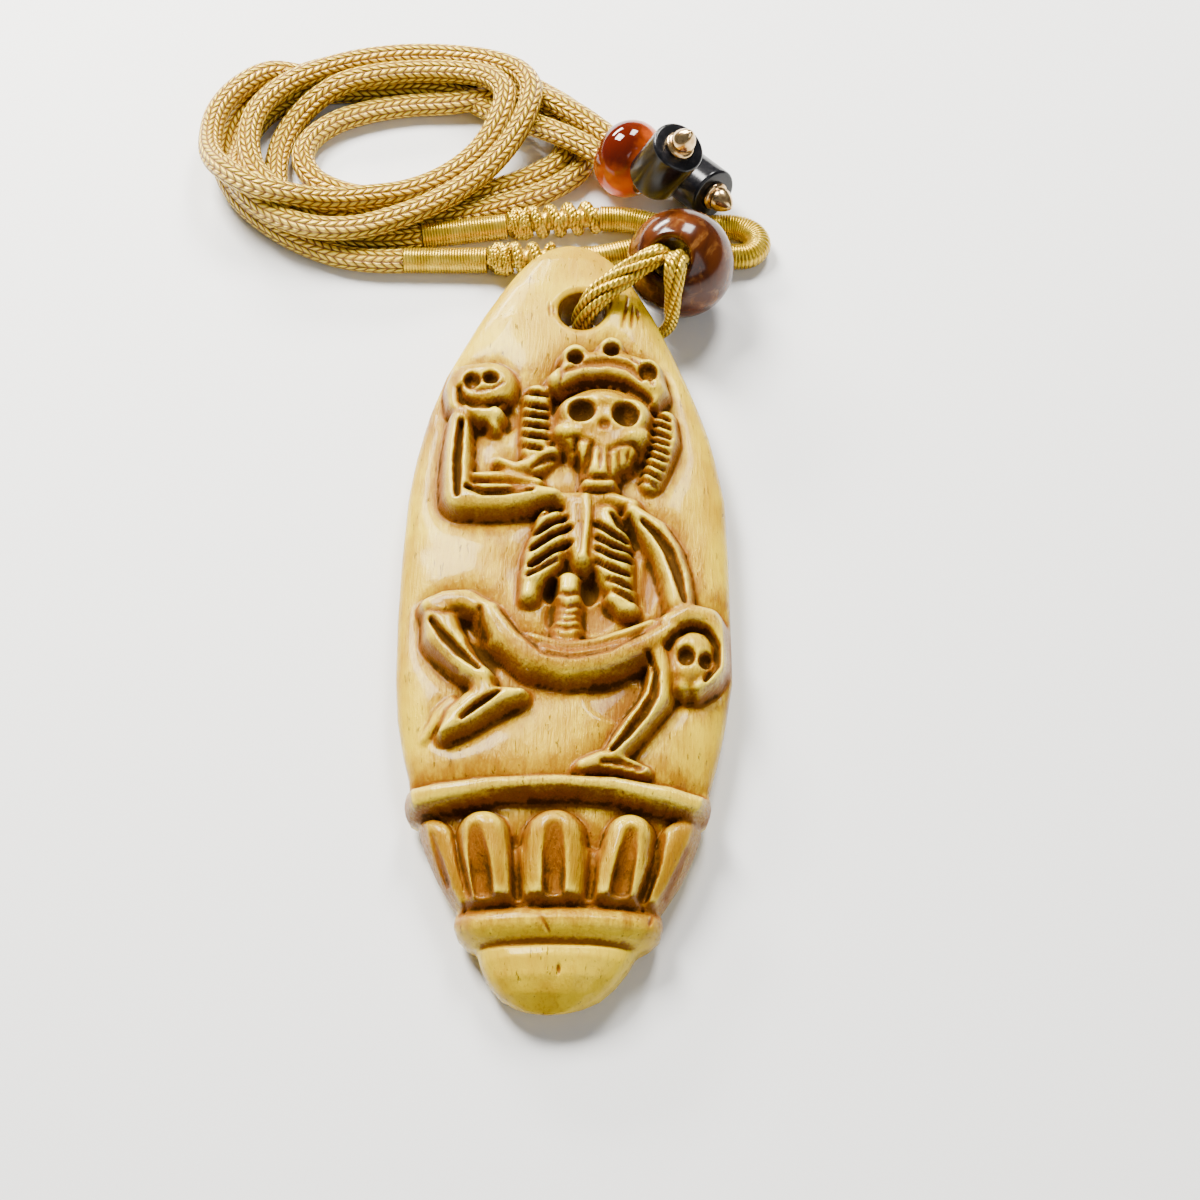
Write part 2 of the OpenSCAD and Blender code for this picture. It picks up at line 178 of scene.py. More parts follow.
# %% [markdown]
# A finish reads like a maker's recipe when each of its layers is one line. The second class
# holds one material and has a short word for each kind of node that the finishes below use.

# %% one material


def spaced(values):
    """Socket names as Blender writes them, from names with underscores."""
    return {name.replace("_", " "): value for name, value in values.items()}


class Shader:
    """A material whose graph is written with Wires."""

    def __init__(self, name, **values):
        self.material = bpy.data.materials.new(name)
        self.material.use_nodes = True
        self.tree = self.material.node_tree
        self.main = self.tree.nodes["Principled BSDF"]
        self.set(**values)

    def set(self, **values):
        for name, value in spaced(values).items():
            plug(self.tree, self.main.inputs[name], value)

    def node(self, kind, output=0, settings=None, **values):
        return new_node(self.tree, kind, output, settings or {}, spaced(values))

    def attribute(self, name, output="Fac"):
        return self.node("Attribute", output, {"attribute_name": name})

    def vectors(self, operation, first, second, output=0):
        """Vector maths on a Wire and three numbers."""
        return new_node(self.tree, "VectorMath", output, {"operation": operation},
                        {0: first, 1: second})

    def place(self, stretch=(1, 1, 1)):
        """The piece's own coordinates in millimetres, stretched along each axis."""
        return self.vectors("MULTIPLY", self.node("TexCoord", 3), [s / MM for s in stretch])

    def noise(self, scale, detail, roughness=0.5, stretch=(1, 1, 1), distortion=0):
        return self.node("TexNoise", Vector=self.place(stretch), Scale=scale, Detail=detail,
                         Roughness=roughness, Distortion=distortion)

    def mix(self, share, first, second):
        """A colour between first and second."""
        first, second = ((*c, 1) if isinstance(c, tuple) else c for c in (first, second))
        return new_node(self.tree, "Mix", 2, {"data_type": "RGBA"}, {0: share, 6: first, 7: second})

    def layers(self, under, *over):
        """A colour with layers over it, each a share and a colour."""
        for share, shade in over:
            under = self.mix(share, under, shade)
        return under

    def bump(self, height, depth):
        """Bump from a height of 0 to 1 that stands for depth millimetres."""
        return self.node("Bump", 0, Height=height, Distance=depth * MM, Strength=1)


floor_paint = Shader("floor_paint", Base_Color=(0.80, 0.80, 0.79, 1), Roughness=0.62)
floor.data.materials.append(floor_paint.material)
print("painted", floor.name)

# %% [markdown]
# ## Lists of places
#
# The long lists of places are plain text, in millimetres, because brackets round every pair
# would hide the numbers. Spaces part the numbers of one place, and commas part places.

# %% reading lists of places


def read_places(text):
    """Places parted by commas or line ends, each a list of numbers."""
    return [[float(word) for word in place.split()]
            for place in text.replace("\n", ",").split(",") if place.strip()]


def read_route(text):
    """The places of a route. One without a height keeps that of the place before."""
    found = []
    for place in read_places(text):
        found.append(place if len(place) == 3 else [*place, found[-1][2]])
    return found


# %% [markdown]
# ## The braided cord
#
# The necklace cord is one braided cord, 3 mm thick. It leaves the two wound sleeves, lies in
# flat turns on the surface, and its ends come back through the amber bead. Each half is swept
# along points placed over the photograph, in millimetres, with the height of the cord's
# middle as the third number. Where one turn crosses another it rises over it in
# a long low hump.
#
# In the braid's material the surface is divided into columns of small oval stitches, which
# lean one way in every other column and the other way between, as those of a round braid do.

# %% routes of the cord
slider_at = np.array([7.2, 64.6, 5])
slider_way, slider_side = np.array([0.819, -0.574, 0]), np.array([0.574, 0.819, 0])
end_a_back, end_a_way = np.array([10.15, 57.9, 8.6]), np.array([0.391, -0.199, 0.899])
end_b_back, end_b_way = np.array([13.3, 64.95, 3.31]), np.array([0.610, -0.780, 0.139])


def in_slider(s, side, up):
    """A place in the amber bead's hole: how far along, how far to the side, how high."""
    return slider_at + s * slider_way + side * slider_side + np.array([0, 0, up])


ROUTE_A = read_route("""
-21 50.3 1.5, -24.5 50.3, -29 51, -34 53.2, -39 56.8, -43 61.3, -45.2 66, -45.5 70.5, -44.5 75
-41.8 79.3, -37.5 82.7, -32 85, -26 86, -20 86, -14 84.9, -8.5 82.7, -3.8 79.6, -0.2 76.5
1.8 73, 2 69.2, 0.7 65.8, -2.4 62.9, -7 60.5, -13 58.4, -19 57.4, -25 57.4, -30.5 57.6 2
-34.5 58.2 3.4, -38 59.8 4.4, -40.4 62.7 4.5, -41.6 66.2, -41.9 70, -41 74, -38.3 77.8
-34 80.7, -28.5 82.8, -22.5 83.8, -16.5 83.6 4.6, -11.3 82.3 5, -7.4 79.8 5.6, -5.6 76.2 6.2
-6 72 6.1, -8.4 67 5, -12.2 61.7 4.6, -17 57.5, -22 54.8 4.5, -27 53.1, -32 53.1, -37 55
-41.2 58.9 4.4, -43.2 63.4 3.4, -43.5 68 2, -42.6 72.3 1.5, -40.6 76, -37.2 78.7, -32.5 79.9
-26.5 80.2, -20.5 80.6, -15.5 79.6, -11.8 77 1.7, -8.6 74.2 2.6, -5 71.7 3.8, -0.8 68.6 4.8
1.8 66.7 5
""") + [
    in_slider(-3.8, -1.55, 0), in_slider(-2.6, -1.55, 0), in_slider(0, -1.5, 0.3),
    in_slider(2.6, -1.5, 0.6), (9.3, 61.0, 5.4), (9.75, 59.6, 5.9),
    end_a_back - 0.7 * end_a_way, end_a_back + 1.2 * end_a_way,
]
ROUTE_B = read_route("""
-19 54.4 1.5, -22.5 53.9, -27 53.8, -31.5 54.9, -35.2 57.6, -37.6 61.2, -38.5 65.5, -38.3 69.8
-37 73.6 1.8, -34.2 76.8 3, -30.5 78.8 4.2, -26 80.1 4.5, -20.8 80.8, -15.6 80.5 4.7
-11.4 78.9 5.4, -9.1 75.8 6.2, -9.3 71.6 6.1, -11.6 66.7 5, -15.5 62.3 4.6, -20.5 59.4 4.5
-26 58.2 4.6, -31 57.4 5, -35.5 56.9 6.4, -39.8 57.6 7.2, -43.5 60.3 7, -46 64.4 5.6
-46.8 68.8 4.6, -46.4 73.2 4.5, -44.2 77.6 4.4, -40.4 81.4 3.6, -36 82.2 2.2, -31 82.6 1.5
-25 83, -19 83.2, -13.2 82, -8.2 79.6, -4.2 76.6, -1.6 73.4, -1.1 70.2, -2 67.4, -4.6 65.2
-8.4 63.1, -13.2 61.2, -19 60.4, -25 60.8, -30 62, -33.6 64.4, -35.2 68, -34.4 71.2, -31.6 74.2
-27.5 76.2, -22 77.5, -16.4 77.8 1.7, -11 78.2 2.4, -7.2 77.6 3.1, -3.8 75.9 4.4, 0.4 72.6 4.9
3.2 69.9 5
""") + [
    in_slider(-3.8, 1.55, 0), in_slider(-2.6, 1.55, 0), in_slider(0, 1.5, -0.3),
    in_slider(2.85, 1.25, -0.7), end_b_back - 0.2 * end_b_way,
]
print("cord halves through", len(ROUTE_A), "and", len(ROUTE_B), "places")

# %% smooth routes


def gone_along(points):
    """How far along a run of points each one lies."""
    return np.concatenate([[0], np.cumsum(np.linalg.norm(np.diff(points, axis=0), axis=1))])


def between(t, first, last, a, b):
    """In step with t: a at the time first, b at the time last."""
    return (last - t) / (last - first) * a + (t - first) / (last - first) * b


def smooth_route(points, spacing):
    """An even run of points, spacing apart, along a smooth curve through the given points."""
    p = np.array(points, float)
    p = np.vstack([2 * p[0] - p[1], p, 2 * p[-1] - p[-2]])
    knots = np.concatenate([[0], np.cumsum(np.linalg.norm(np.diff(p, axis=0), axis=1) ** 0.5)])
    fine = []
    for i in range(1, len(p) - 2):
        t0, t1, t2, t3 = knots[i - 1:i + 3]
        t = np.linspace(t1, t2, 24, endpoint=False)[:, None]
        a = [between(t, knots[k], knots[k + 1], p[k], p[k + 1]) for k in (i - 1, i, i + 1)]
        b = between(t, t0, t2, a[0], a[1]), between(t, t1, t3, a[1], a[2])
        fine.append(between(t, t1, t2, *b))
    fine = np.vstack([*fine, p[-2:-1]])
    gone = gone_along(fine)
    even = np.linspace(0, gone[-1], max(2, round(gone[-1] / spacing) + 1))
    return np.stack([np.interp(even, gone, fine[:, k]) for k in range(3)], 1)


# %% tubes


def rings_along(route):
    """Two directions square to the route at each point, carried along without twisting."""
    ahead = np.gradient(route, axis=0)
    ahead /= np.linalg.norm(ahead, axis=1)[:, None]
    side = np.empty_like(ahead)
    last = np.array([0.1, 0.2, 1.0])
    for i, way in enumerate(ahead):
        last = last - last @ way * way
        last /= np.linalg.norm(last)
        side[i] = last
    return side, np.cross(ahead, side)


def faces_over(rings, sides, closed=False):
    """Faces over rings of points: quads between neighbours, with a cap at each end or, when
    closed, with quads from the last ring to the first."""
    i = np.arange(rings if closed else rings - 1)[:, None] * sides
    j = np.arange(sides)[None]
    k = (j + 1) % sides
    after = (i + sides) % (rings * sides)
    quads = np.stack([i + j, i + k, after + k, after + j], -1).reshape(-1, 4).tolist()
    if closed:
        return quads
    return quads + [list(range(sides))[::-1], list(range((rings - 1) * sides, rings * sides))]


def tube(route, sides, radius):
    """Points, faces and lie of a closed tube along a route in mm. radius is a number, or an
    array of one row per ring. The lie is cosine and sine round the tube, and mm along it."""
    side, across = rings_along(route)
    angle = np.arange(sides) * 2 * np.pi / sides
    cosine, sine = np.cos(angle)[None], np.sin(angle)[None]
    radius = np.broadcast_to(radius, (len(route), sides))[..., None]
    out = cosine[..., None] * side[:, None] + sine[..., None] * across[:, None]
    points = (route[:, None] + radius * out).reshape(-1, 3)
    lie = np.stack([*np.broadcast_arrays(cosine, sine, gone_along(route)[:, None])], -1)
    return points, faces_over(len(route), sides), lie.reshape(-1, 3)


# %% pieces from points and faces


def select_only(piece):
    bpy.ops.object.select_all(action="DESELECT")
    bpy.context.view_layer.objects.active = piece
    piece.select_set(True)


def smooth_skin(name, points, faces):
    """A smooth object of points in mm and faces."""
    mesh = bpy.data.meshes.new(name)
    mesh.from_pydata((points * MM).tolist(), [], faces)
    piece = bpy.data.objects.new(name, mesh)
    bpy.context.scene.collection.objects.link(piece)
    select_only(piece)
    bpy.ops.object.shade_smooth()
    return piece


def face_outwards(piece):
    select_only(piece)
    bpy.ops.object.mode_set(mode="EDIT")
    bpy.ops.mesh.select_all(action="SELECT")
    bpy.ops.mesh.normals_make_consistent(inside=False)
    bpy.ops.object.mode_set(mode="OBJECT")


def as_piece(name, parts, material, *nodes):
    """One smooth piece of closed parts, shown in the place of CAD nodes and in the given material.
    It carries the lie of its parts as an attribute."""
    starts = np.cumsum([0] + [len(points) for points, _, _ in parts]).tolist()
    faces = [[v + start for v in face]
             for (_, part, _), start in zip(parts, starts) for face in part]
    piece = smooth_skin(name, np.vstack([points for points, _, _ in parts]), faces)
    lie = np.vstack([lie for _, _, lie in parts]).astype(np.float32)
    mark = piece.data.attributes.new("lie", "FLOAT_VECTOR", "POINT")
    mark.data.foreach_set("vector", lie.ravel())
    piece.data.materials.append(material)
    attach(piece, "root")
    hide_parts(*nodes)
    return piece


# %% [markdown]
# The cord's material: satin, with a painted gold highlight on the crests of the raised stitches,
# tan on their flanks and painted brown shade in the gaps. It reads the lie, which says how far
# round and how far along the cord each point is.

# %% braided cord material
BRAID_COLUMNS, STITCH, SLANT = 12, 1.15, 0.75
# The brown in the gaps between stitches is painted shade, and the gold on their crests is a painted
# highlight.
GAP_SHADE_BROWN, TAN = (0.14, 0.046, 0.001), (0.60, 0.335, 0.003)
CREST_HIGHLIGHT_GOLD, AGED_GOLD = (0.98, 0.72, 0.07), (0.40, 0.18, 0.008)
braid = Shader("braided_cord")
lie = braid.attribute("lie", "Vector")
turn_cos, turn_sin, along = (braid.node("SeparateXYZ", k, Vector=lie) for k in range(3))
around = turn_sin.maths("ARCTAN2", turn_cos) * (BRAID_COLUMNS / 2 / math.pi)
leaning = 1 - (around.maths("FLOOR") * 0.5).maths("FRACT") * 4
across = around.maths("FRACT") - 0.5
length = (along / STITCH + across * leaning * SLANT).maths("FRACT") - 0.5
height = (1 - across * across * 4) * (1 - length * length * 4)
tone = braid.noise(0.35, 2)
speck = braid.noise(2.2, 4, 0.7)
raised = height.step(0.02, 0.42)
colour = braid.layers(GAP_SHADE_BROWN, (raised, TAN), ((height * speck).step(0.15, 0.42), CREST_HIGHLIGHT_GOLD),
                      (tone.step(0.3, 0.75) * 0.25, AGED_GOLD))
braid.set(Base_Color=colour, Roughness=0.46 - raised * 0.16, Metallic=0.3,
          Normal=braid.bump(height * 1.6 + speck * 0.35, 0.24))
print("braid of", BRAID_COLUMNS, "columns, a stitch every", STITCH, "mm")

# %% sweep both halves of the cord
CORD_R = 1.5
STEP = 0.3
SIDES = 32


def weathered(count, seed, spread):
    """Slow random drift along a cord, so that no two stretches are alike."""
    coarse = np.random.default_rng(seed).normal(0, spread, max(4, count // 40))
    return np.interp(np.linspace(0, 1, count), np.linspace(0, 1, len(coarse)), coarse)


def braided(name, points, seed, *nodes):
    """A half of the cord, its middle line and its length in mm."""
    line = smooth_route(points, STEP)
    radius = CORD_R * (1 + weathered(len(line), seed, spread=0.012)[:, None])
    piece = as_piece(name, [tube(line, SIDES, radius)], braid.material, *nodes)
    return piece, line, float(gone_along(line)[-1])


cord_a, line_a, length_a = braided("cord_a", ROUTE_A, 3, "cord_coil", "cord_tail_a")
cord_b, line_b, length_b = braided("cord_b", ROUTE_B, 4, "cord_coil", "cord_tail_b")
print("cord lengths in mm", round(length_a), round(length_b))

# %% [markdown]
# ## The bone pendant
#
# The plaque is one carved piece of bone, so it is made as one closed skin. Rings run round it
# from the tip to the hole end. Over the front each ring has many points, and the carving moves
# them up and down, as a carver does who starts from the smooth plaque and cuts the ground
# away. Sculpting brushes need a window, so the heights are worked out instead.
#
# The figure's places are as the photograph shows them on a level 8 mm above the surface, and
# the lotus's on one of 7 mm. So each point of the plaque first finds where it appears on that
# level, to an eye close to the camera.

# %% shape of the plaque
# place along Y, left edge, right edge
outline = np.array(read_places("""
-48.5 -1.4 -0.4, -48.3 -2.8 1.1, -47.8 -4.1 2.6, -46.8 -5.6 4.4, -45.4 -6.8 5.9, -43.8 -7.6 7.1
-42.5 -8 7.8, -42 -8.3 8.3, -41.5 -9.2 9.3, -40.6 -10.1 10.3, -39.6 -10.5 10.6
-38.7 -10.4 10.5, -38.1 -10.1 10.2, -37.6 -10.5 10.5, -34.5 -12.4 12.5, -31.5 -13.8 13.9
-29.4 -14.5 14.6, -28.5 -14.6 14.5, -28 -15.6 15.2, -27.4 -16 15.5, -26.4 -16.2 15.7
-25.5 -16.1 15.6, -25.1 -15.7 15.5, -23.4 -15.9 15.9, -21.2 -16.5 16.5, -19 -17 17
-16.4 -17.5 17.5, -11.5 -18 18.3, -4 -18.25 18.3, 4 -18.25 18.3, 12 -18 18.1, 15 -17.7 17.6
17.8 -17.3 17.1, 20.6 -16.8 16.5, 23.4 -16.2 15.7, 26 -15.4 14.8, 29 -14.5 13.7, 32 -13.1 12.5
35 -11.7 11.3, 37.8 -10.3 10.1, 40.8 -8.6 8.5, 43.7 -6.8 6.9, 46 -5 5.1, 47.4 -3.4 3.5
48.1 -2 2.1, 48.5 -0.5 0.5
"""))
# place along Y, height of the smooth front at the middle, height of the edge
profile = np.array(read_places("""
-48.5 3.3 2.6, -47 4.8 2.6, -45.4 5.8 2.7, -43.6 6.3 2.8, -42.6 6.2 2.8, -42.3 5.7 2.8
-42 6 2.8, -41.5 6.9 2.9, -40.8 7.5 3, -40.1 7.7 3, -39.4 7.5 3, -38.8 6.9 3, -38.4 6.1 3
-37.9 5.8 3, -34 6.4 3.1, -30 6.7 3.2, -27.2 6.9 3.3, -24 7.1 3.4, -15 7.2 3.5, 0 7.3 3.6
14 7.4 3.7, 24 7.7 4, 30 8.1 4.3, 36 8.5 4.8, 41 8.4 5.2, 45 8 5.5, 48.5 7 5.6
"""))
HALF_L, HALF_W = 48.5, 18.25
BOW_START, BOW_RISE = -5, 4
BUD_START, BUD_RUN, BUD_RISE = -42, 6.4, 1.5
HOLE_AT, HOLE_R = (1.5, 36.8), 2.8
print("plaque", 2 * HALF_L, "mm long and", 2 * HALF_W, "mm wide")

# %% grid of points over the front
# rings along the plaque, of which END_ROWS crowd together at each end, and points round a ring
ROWS, END_ROWS, END_RUN = 476, 19, 2
FRONT, BACK = 180, 24
crowd = END_RUN * (1 - np.cos(np.linspace(0, np.pi / 2, END_ROWS + 1)[:-1]))
along = np.concatenate([crowd - HALF_L,
                        np.linspace(END_RUN - HALF_L, HALF_L - END_RUN, ROWS - 2 * END_ROWS),
                        HALF_L - crowd[::-1]])
left, right = (np.interp(along, outline[:, 0], outline[:, k]) for k in (1, 2))
middle_x, half = (right + left) / 2, (right - left) / 2
top, edge = (np.interp(along, profile[:, 0], profile[:, k]) for k in (1, 2))
bow = BOW_RISE * np.clip((along - BOW_START) / (HALF_L - BOW_START), 0, None) ** 2
lift = BUD_RISE * np.clip((BUD_START - along) / BUD_RUN, 0, None) ** 2

even = np.linspace(-1, 1, FRONT)
share = 0.7 * even + 0.3 * np.sin(even * np.pi / 2)
x = middle_x[:, None] + share[None] * half[:, None]
y = np.broadcast_to(along[:, None], x.shape)
dome = (1 - np.abs(share[None]) ** 2.3) ** 0.42
smooth = edge[:, None] + (top - edge)[:, None] * dome
print("front of", x.shape, "points, up to", round(float(smooth.max()), 1), "mm high")

# %% where each point appears in the photograph
# The eye stands 1.7 mm to the left of the camera. Its place is fixed, so the carving keeps its
# shape when the camera is moved.
EYE = (3.1, -116, 187.7)


def seen_at(level, rise=0.8):
    """Where the photograph shows, on a level in mm, points that rise above the smooth front."""
    reach = (EYE[2] - level) / (EYE[2] - smooth - rise)
    return EYE[0] + (x - EYE[0]) * reach, EYE[1] + (y - EYE[1]) * reach


# %% carving tools


def reach_of(place, path):
    """Distance from each place to a path of points, and how far along the path, from 0 to 1."""
    px, py = place
    path = np.array(path, float)
    lengths = np.linalg.norm(np.diff(path, axis=0), axis=1)
    gone, best, share = 0, np.full(px.shape, 1e9), np.zeros(px.shape)
    for a, b, length in zip(path[:-1], path[1:], lengths):
        t = np.clip(((px - a[0]) * (b[0] - a[0]) + (py - a[1]) * (b[1] - a[1])) / length ** 2, 0, 1)
        d = np.hypot(px - a[0] - t * (b[0] - a[0]), py - a[1] - t * (b[1] - a[1]))
        nearer = d < best
        best = np.where(nearer, d, best)
        share = np.where(nearer, (gone + t * length) / lengths.sum(), share)
        gone += length
    return best, share


def band(place, path, widths, fullness):
    """1 along the middle of a band and 0 at its half width. A fuller band has steeper sides."""
    d, share = reach_of(place, path)
    r = np.interp(share, np.linspace(0, 1, len(widths)), widths)
    return np.sqrt(np.clip(1 - (d / np.maximum(r, 0.01)) ** fullness, 0, 1))


def highest(rows, place, fullness):
    """The highest band of a table at each point, or the deepest."""
    found = np.zeros(x.shape)
    for size, widths, path in rows:
        found = np.maximum(found, size * band(place, path, widths, fullness))
    return found


def mound(place, centre, radii, turn, fullness=2.2):
    """A rounded mound or pit of that centre and radii: 1 in the middle and 0 outside."""
    a = math.radians(turn)
    u = (place[0] - centre[0]) * math.cos(a) + (place[1] - centre[1]) * math.sin(a)
    v = (place[1] - centre[1]) * math.cos(a) - (place[0] - centre[0]) * math.sin(a)
    d = np.hypot(u / radii[0], v / radii[1])
    return np.sqrt(np.clip(1 - d ** fullness, 0, 1))


def blurred(values, steps):
    """The values smoothed over their neighbours."""
    for _ in range(steps):
        for axis in (0, 1):
            pad = [(1, 1) if a == axis else (0, 0) for a in (0, 1)]
            wide, count = np.pad(values, pad, "edge"), values.shape[axis]
            low, mid, high = (np.take(wide, range(k, k + count), axis) for k in (0, 1, 2))
            values = (low + 2 * mid + high) / 4
    return values


# %% reading the tables of the carving


def read_columns(text):
    """The rows of a table, below the one with its columns' names. A column is a number, a few
    numbers or a list of places. A row that starts with # is a heading, and one that ends with a
    comma goes on in the next."""
    found = []
    for row in text.replace(",\n", ", ").strip().splitlines()[1:]:
        if not row.startswith("#"):
            cells = [read_places(cell) for cell in row.split("|")]
            cells = [cell if len(cell) > 1 else cell[0] for cell in cells]
            found.append([cell if len(cell) > 1 else cell[0] for cell in cells])
    return found


# %% [markdown]
# The raised parts come first: the skeleton's crown, limbs, ribs and belt, each as a band along
# a path. Where two meet, the higher one wins, which leaves a crease between them as between a
# carved arm and a carved hip.

# %% raised parts
RAISED = read_columns("""
height | half widths along the path | path
# crown and its three knobs
2.3 | 1.6 2.3 2.5 2.4 1.7 | -1 26.4, 1.2 28.2, 4.6 28.9, 7.8 27.8, 10 25.2
2.5 | 1.8 1.8 | 0.7 29.9, 0.9 30.1
2.6 | 1.8 1.8 | 5 31, 5.1 31.2
2.6 | 1.8 1.9 | 9.3 27.9, 9.5 27.5
1.9 | 1.1 1.3 0.8 | 10.4 26.2, 10.6 24.6, 10.1 23.2
# ear ornaments
1.5 | 1.6 1.75 1.6 | -3.5 24.4, -3.5 20.5, -3.5 16.5
1.5 | 1.3 1.5 1.4 1.1 | 11.3 20.9, 11.4 18, 10.4 14.6, 9.6 12.2
# jaw, neck and collar
2.4 | 4.7 4.6 3.6 2.2 | 4.3 18.4, 4.4 16.9, 4.3 15.2, 4 13.9
1.8 | 1.15 1.15 | 2.8 11.7, 4.7 11.6
1.3 | 1 1.2 1.1 0.9 | -0.6 9.6, 2 9.6, 5 9.7, 7.6 8.9
# leaf beside the jaw
1.3 | 0.9 1.2 0.9 0.5 | -1.6 16.2, -3.4 14.6, -5.6 13.9, -7.7 15
# hand that holds a small skull
2.2 | 3.3 3.4 | -10.9 25.9, -9.2 26.1
1.7 | 0.9 1 1 0.8 | -12.8 27.4, -13.4 25, -13.1 22.6, -12.1 21.4
1.9 | 1.3 1.7 1.3 | -11.2 21.9, -9.8 21.8, -8.3 21.3
1.5 | 1 0.6 | -8.9 20.8, -8.2 19.5
# raised forearm, and the upper arm level with it
2.1 | 1.4 1.7 1.8 2 | -12.3 20.6, -12.4 16.5, -12.4 13, -12.1 10
2.1 | 2.1 2.2 2.1 1.6 0.9 | -11.9 9.8, -9.5 9.8, -6 9.9, -3.4 10.2, -1.2 10.2
1 | 0.6 0.9 0.7 | -10.2 12.8, -6.6 12.8, -3.2 11.9
# rib cage: left and right halves, and the breastbone
1.9 | 1.6 2.2 2.2 1.6 | -1.6 7, -1.6 4.8, -2.2 2.4, -3.2 -0.4
1.5 | 1.1 1 | -3.6 -1.6, -3.8 -3
1.9 | 1.5 2.2 2.2 1.7 1.2 | 4.6 7.4, 5 5, 5.2 2.4, 5.8 -0.4, 6.6 -3.2
1.5 | 0.9 1.1 1 | 5.4 -3.4, 6.6 -4.5, 7.2 -4.6
1.75 | 2.3 2.5 2.1 1.2 | 1.9 8.4, 1.9 6, 1.9 3.6, 2 1.6
2.2 | 0.6 0.65 0.55 0.4 | 2.3 9.8, 2.6 7, 2.3 4.1, 2 1.6
# spine
1.4 | 1.35 1.4 1.5 | 0.5 -1.2, 0.45 -4.6, 0.4 -7.8
# lowered arm
1.9 | 1 1.7 1.8 1.7 1.6 | 7.6 8, 9.9 5.6, 11.4 2.6, 12.2 -0.6, 12.6 -4
# hood over the skull cup, and the skull in it
2.1 | 1.5 1.6 1.5 1.3 1.2 1.1 0.9 | 11.4 -6.6, 13.4 -5.4, 15.6 -5.9, 17 -8, 17.2 -10.8, 16 -13.2,
14.4 -14.6
2.2 | 2.5 2.6 2.1 | 13.9 -9.8, 14 -10.8, 13.6 -12.4
1.7 | 1.6 1.2 | 13.2 -13, 12.9 -14.2
# rope of the belt
1.5 | 0.8 0.9 0.9 0.8 0.7 | -3.6 -8.4, 0.2 -9.6, 3.4 -9.2, 7 -7.8, 9.6 -6.6
# hip and thigh, from the left knee across to the right
1.9 | 1.3 1.7 1.7 1.4 | -14.4 -4.6, -12.8 -4, -10.6 -3.8, -8.6 -4.8
2.2 | 1.7 1.9 2.1 2.1 2 1.8 1.6 | -8 -5.4, -6.2 -8.3, -3.3 -10.8, 0.4 -11.8, 4.4 -11.2, 8.4 -9.6,
11.4 -7.6
# raised lower leg
2.1 | 2 2.3 1.9 1.3 | -13.3 -5.6, -12.9 -8.2, -10.6 -11.2, -8.4 -13.2
2 | 0.8 1.5 2.1 1.8 0.6 | -4.2 -15.3, -6.4 -15.6, -8.8 -16.4, -10.7 -18.1, -12.3 -20.1
1.9 | 1.3 1.5 | -8.5 -13.6, -8 -15.4
0.4 | 0.5 0.7 0.5 0.3 | -11.5 -16, -12.6 -17.5, -13.4 -19.2, -14.3 -20.8
# standing lower leg and its foot
1.9 | 1.2 1.5 1.6 1.5 1.2 | 10.1 -9.8, 10.6 -12.6, 10.1 -15.6, 7.8 -18.8, 5.9 -21.6
1.3 | 0.9 1.1 0.9 0.6 | 2.4 -23.6, 4.4 -22.8, 6.6 -23.4, 8.8 -24.2
""")
print(len(RAISED), "raised parts")

# %% [markdown]
# The carver's cuts come next: the slots of the ear ornaments, the gaps between ribs and teeth,
# and the long slits that part the two bones of each limb. A Boolean for each would leave hard
# ends, so they are bands too, taken away from the height.

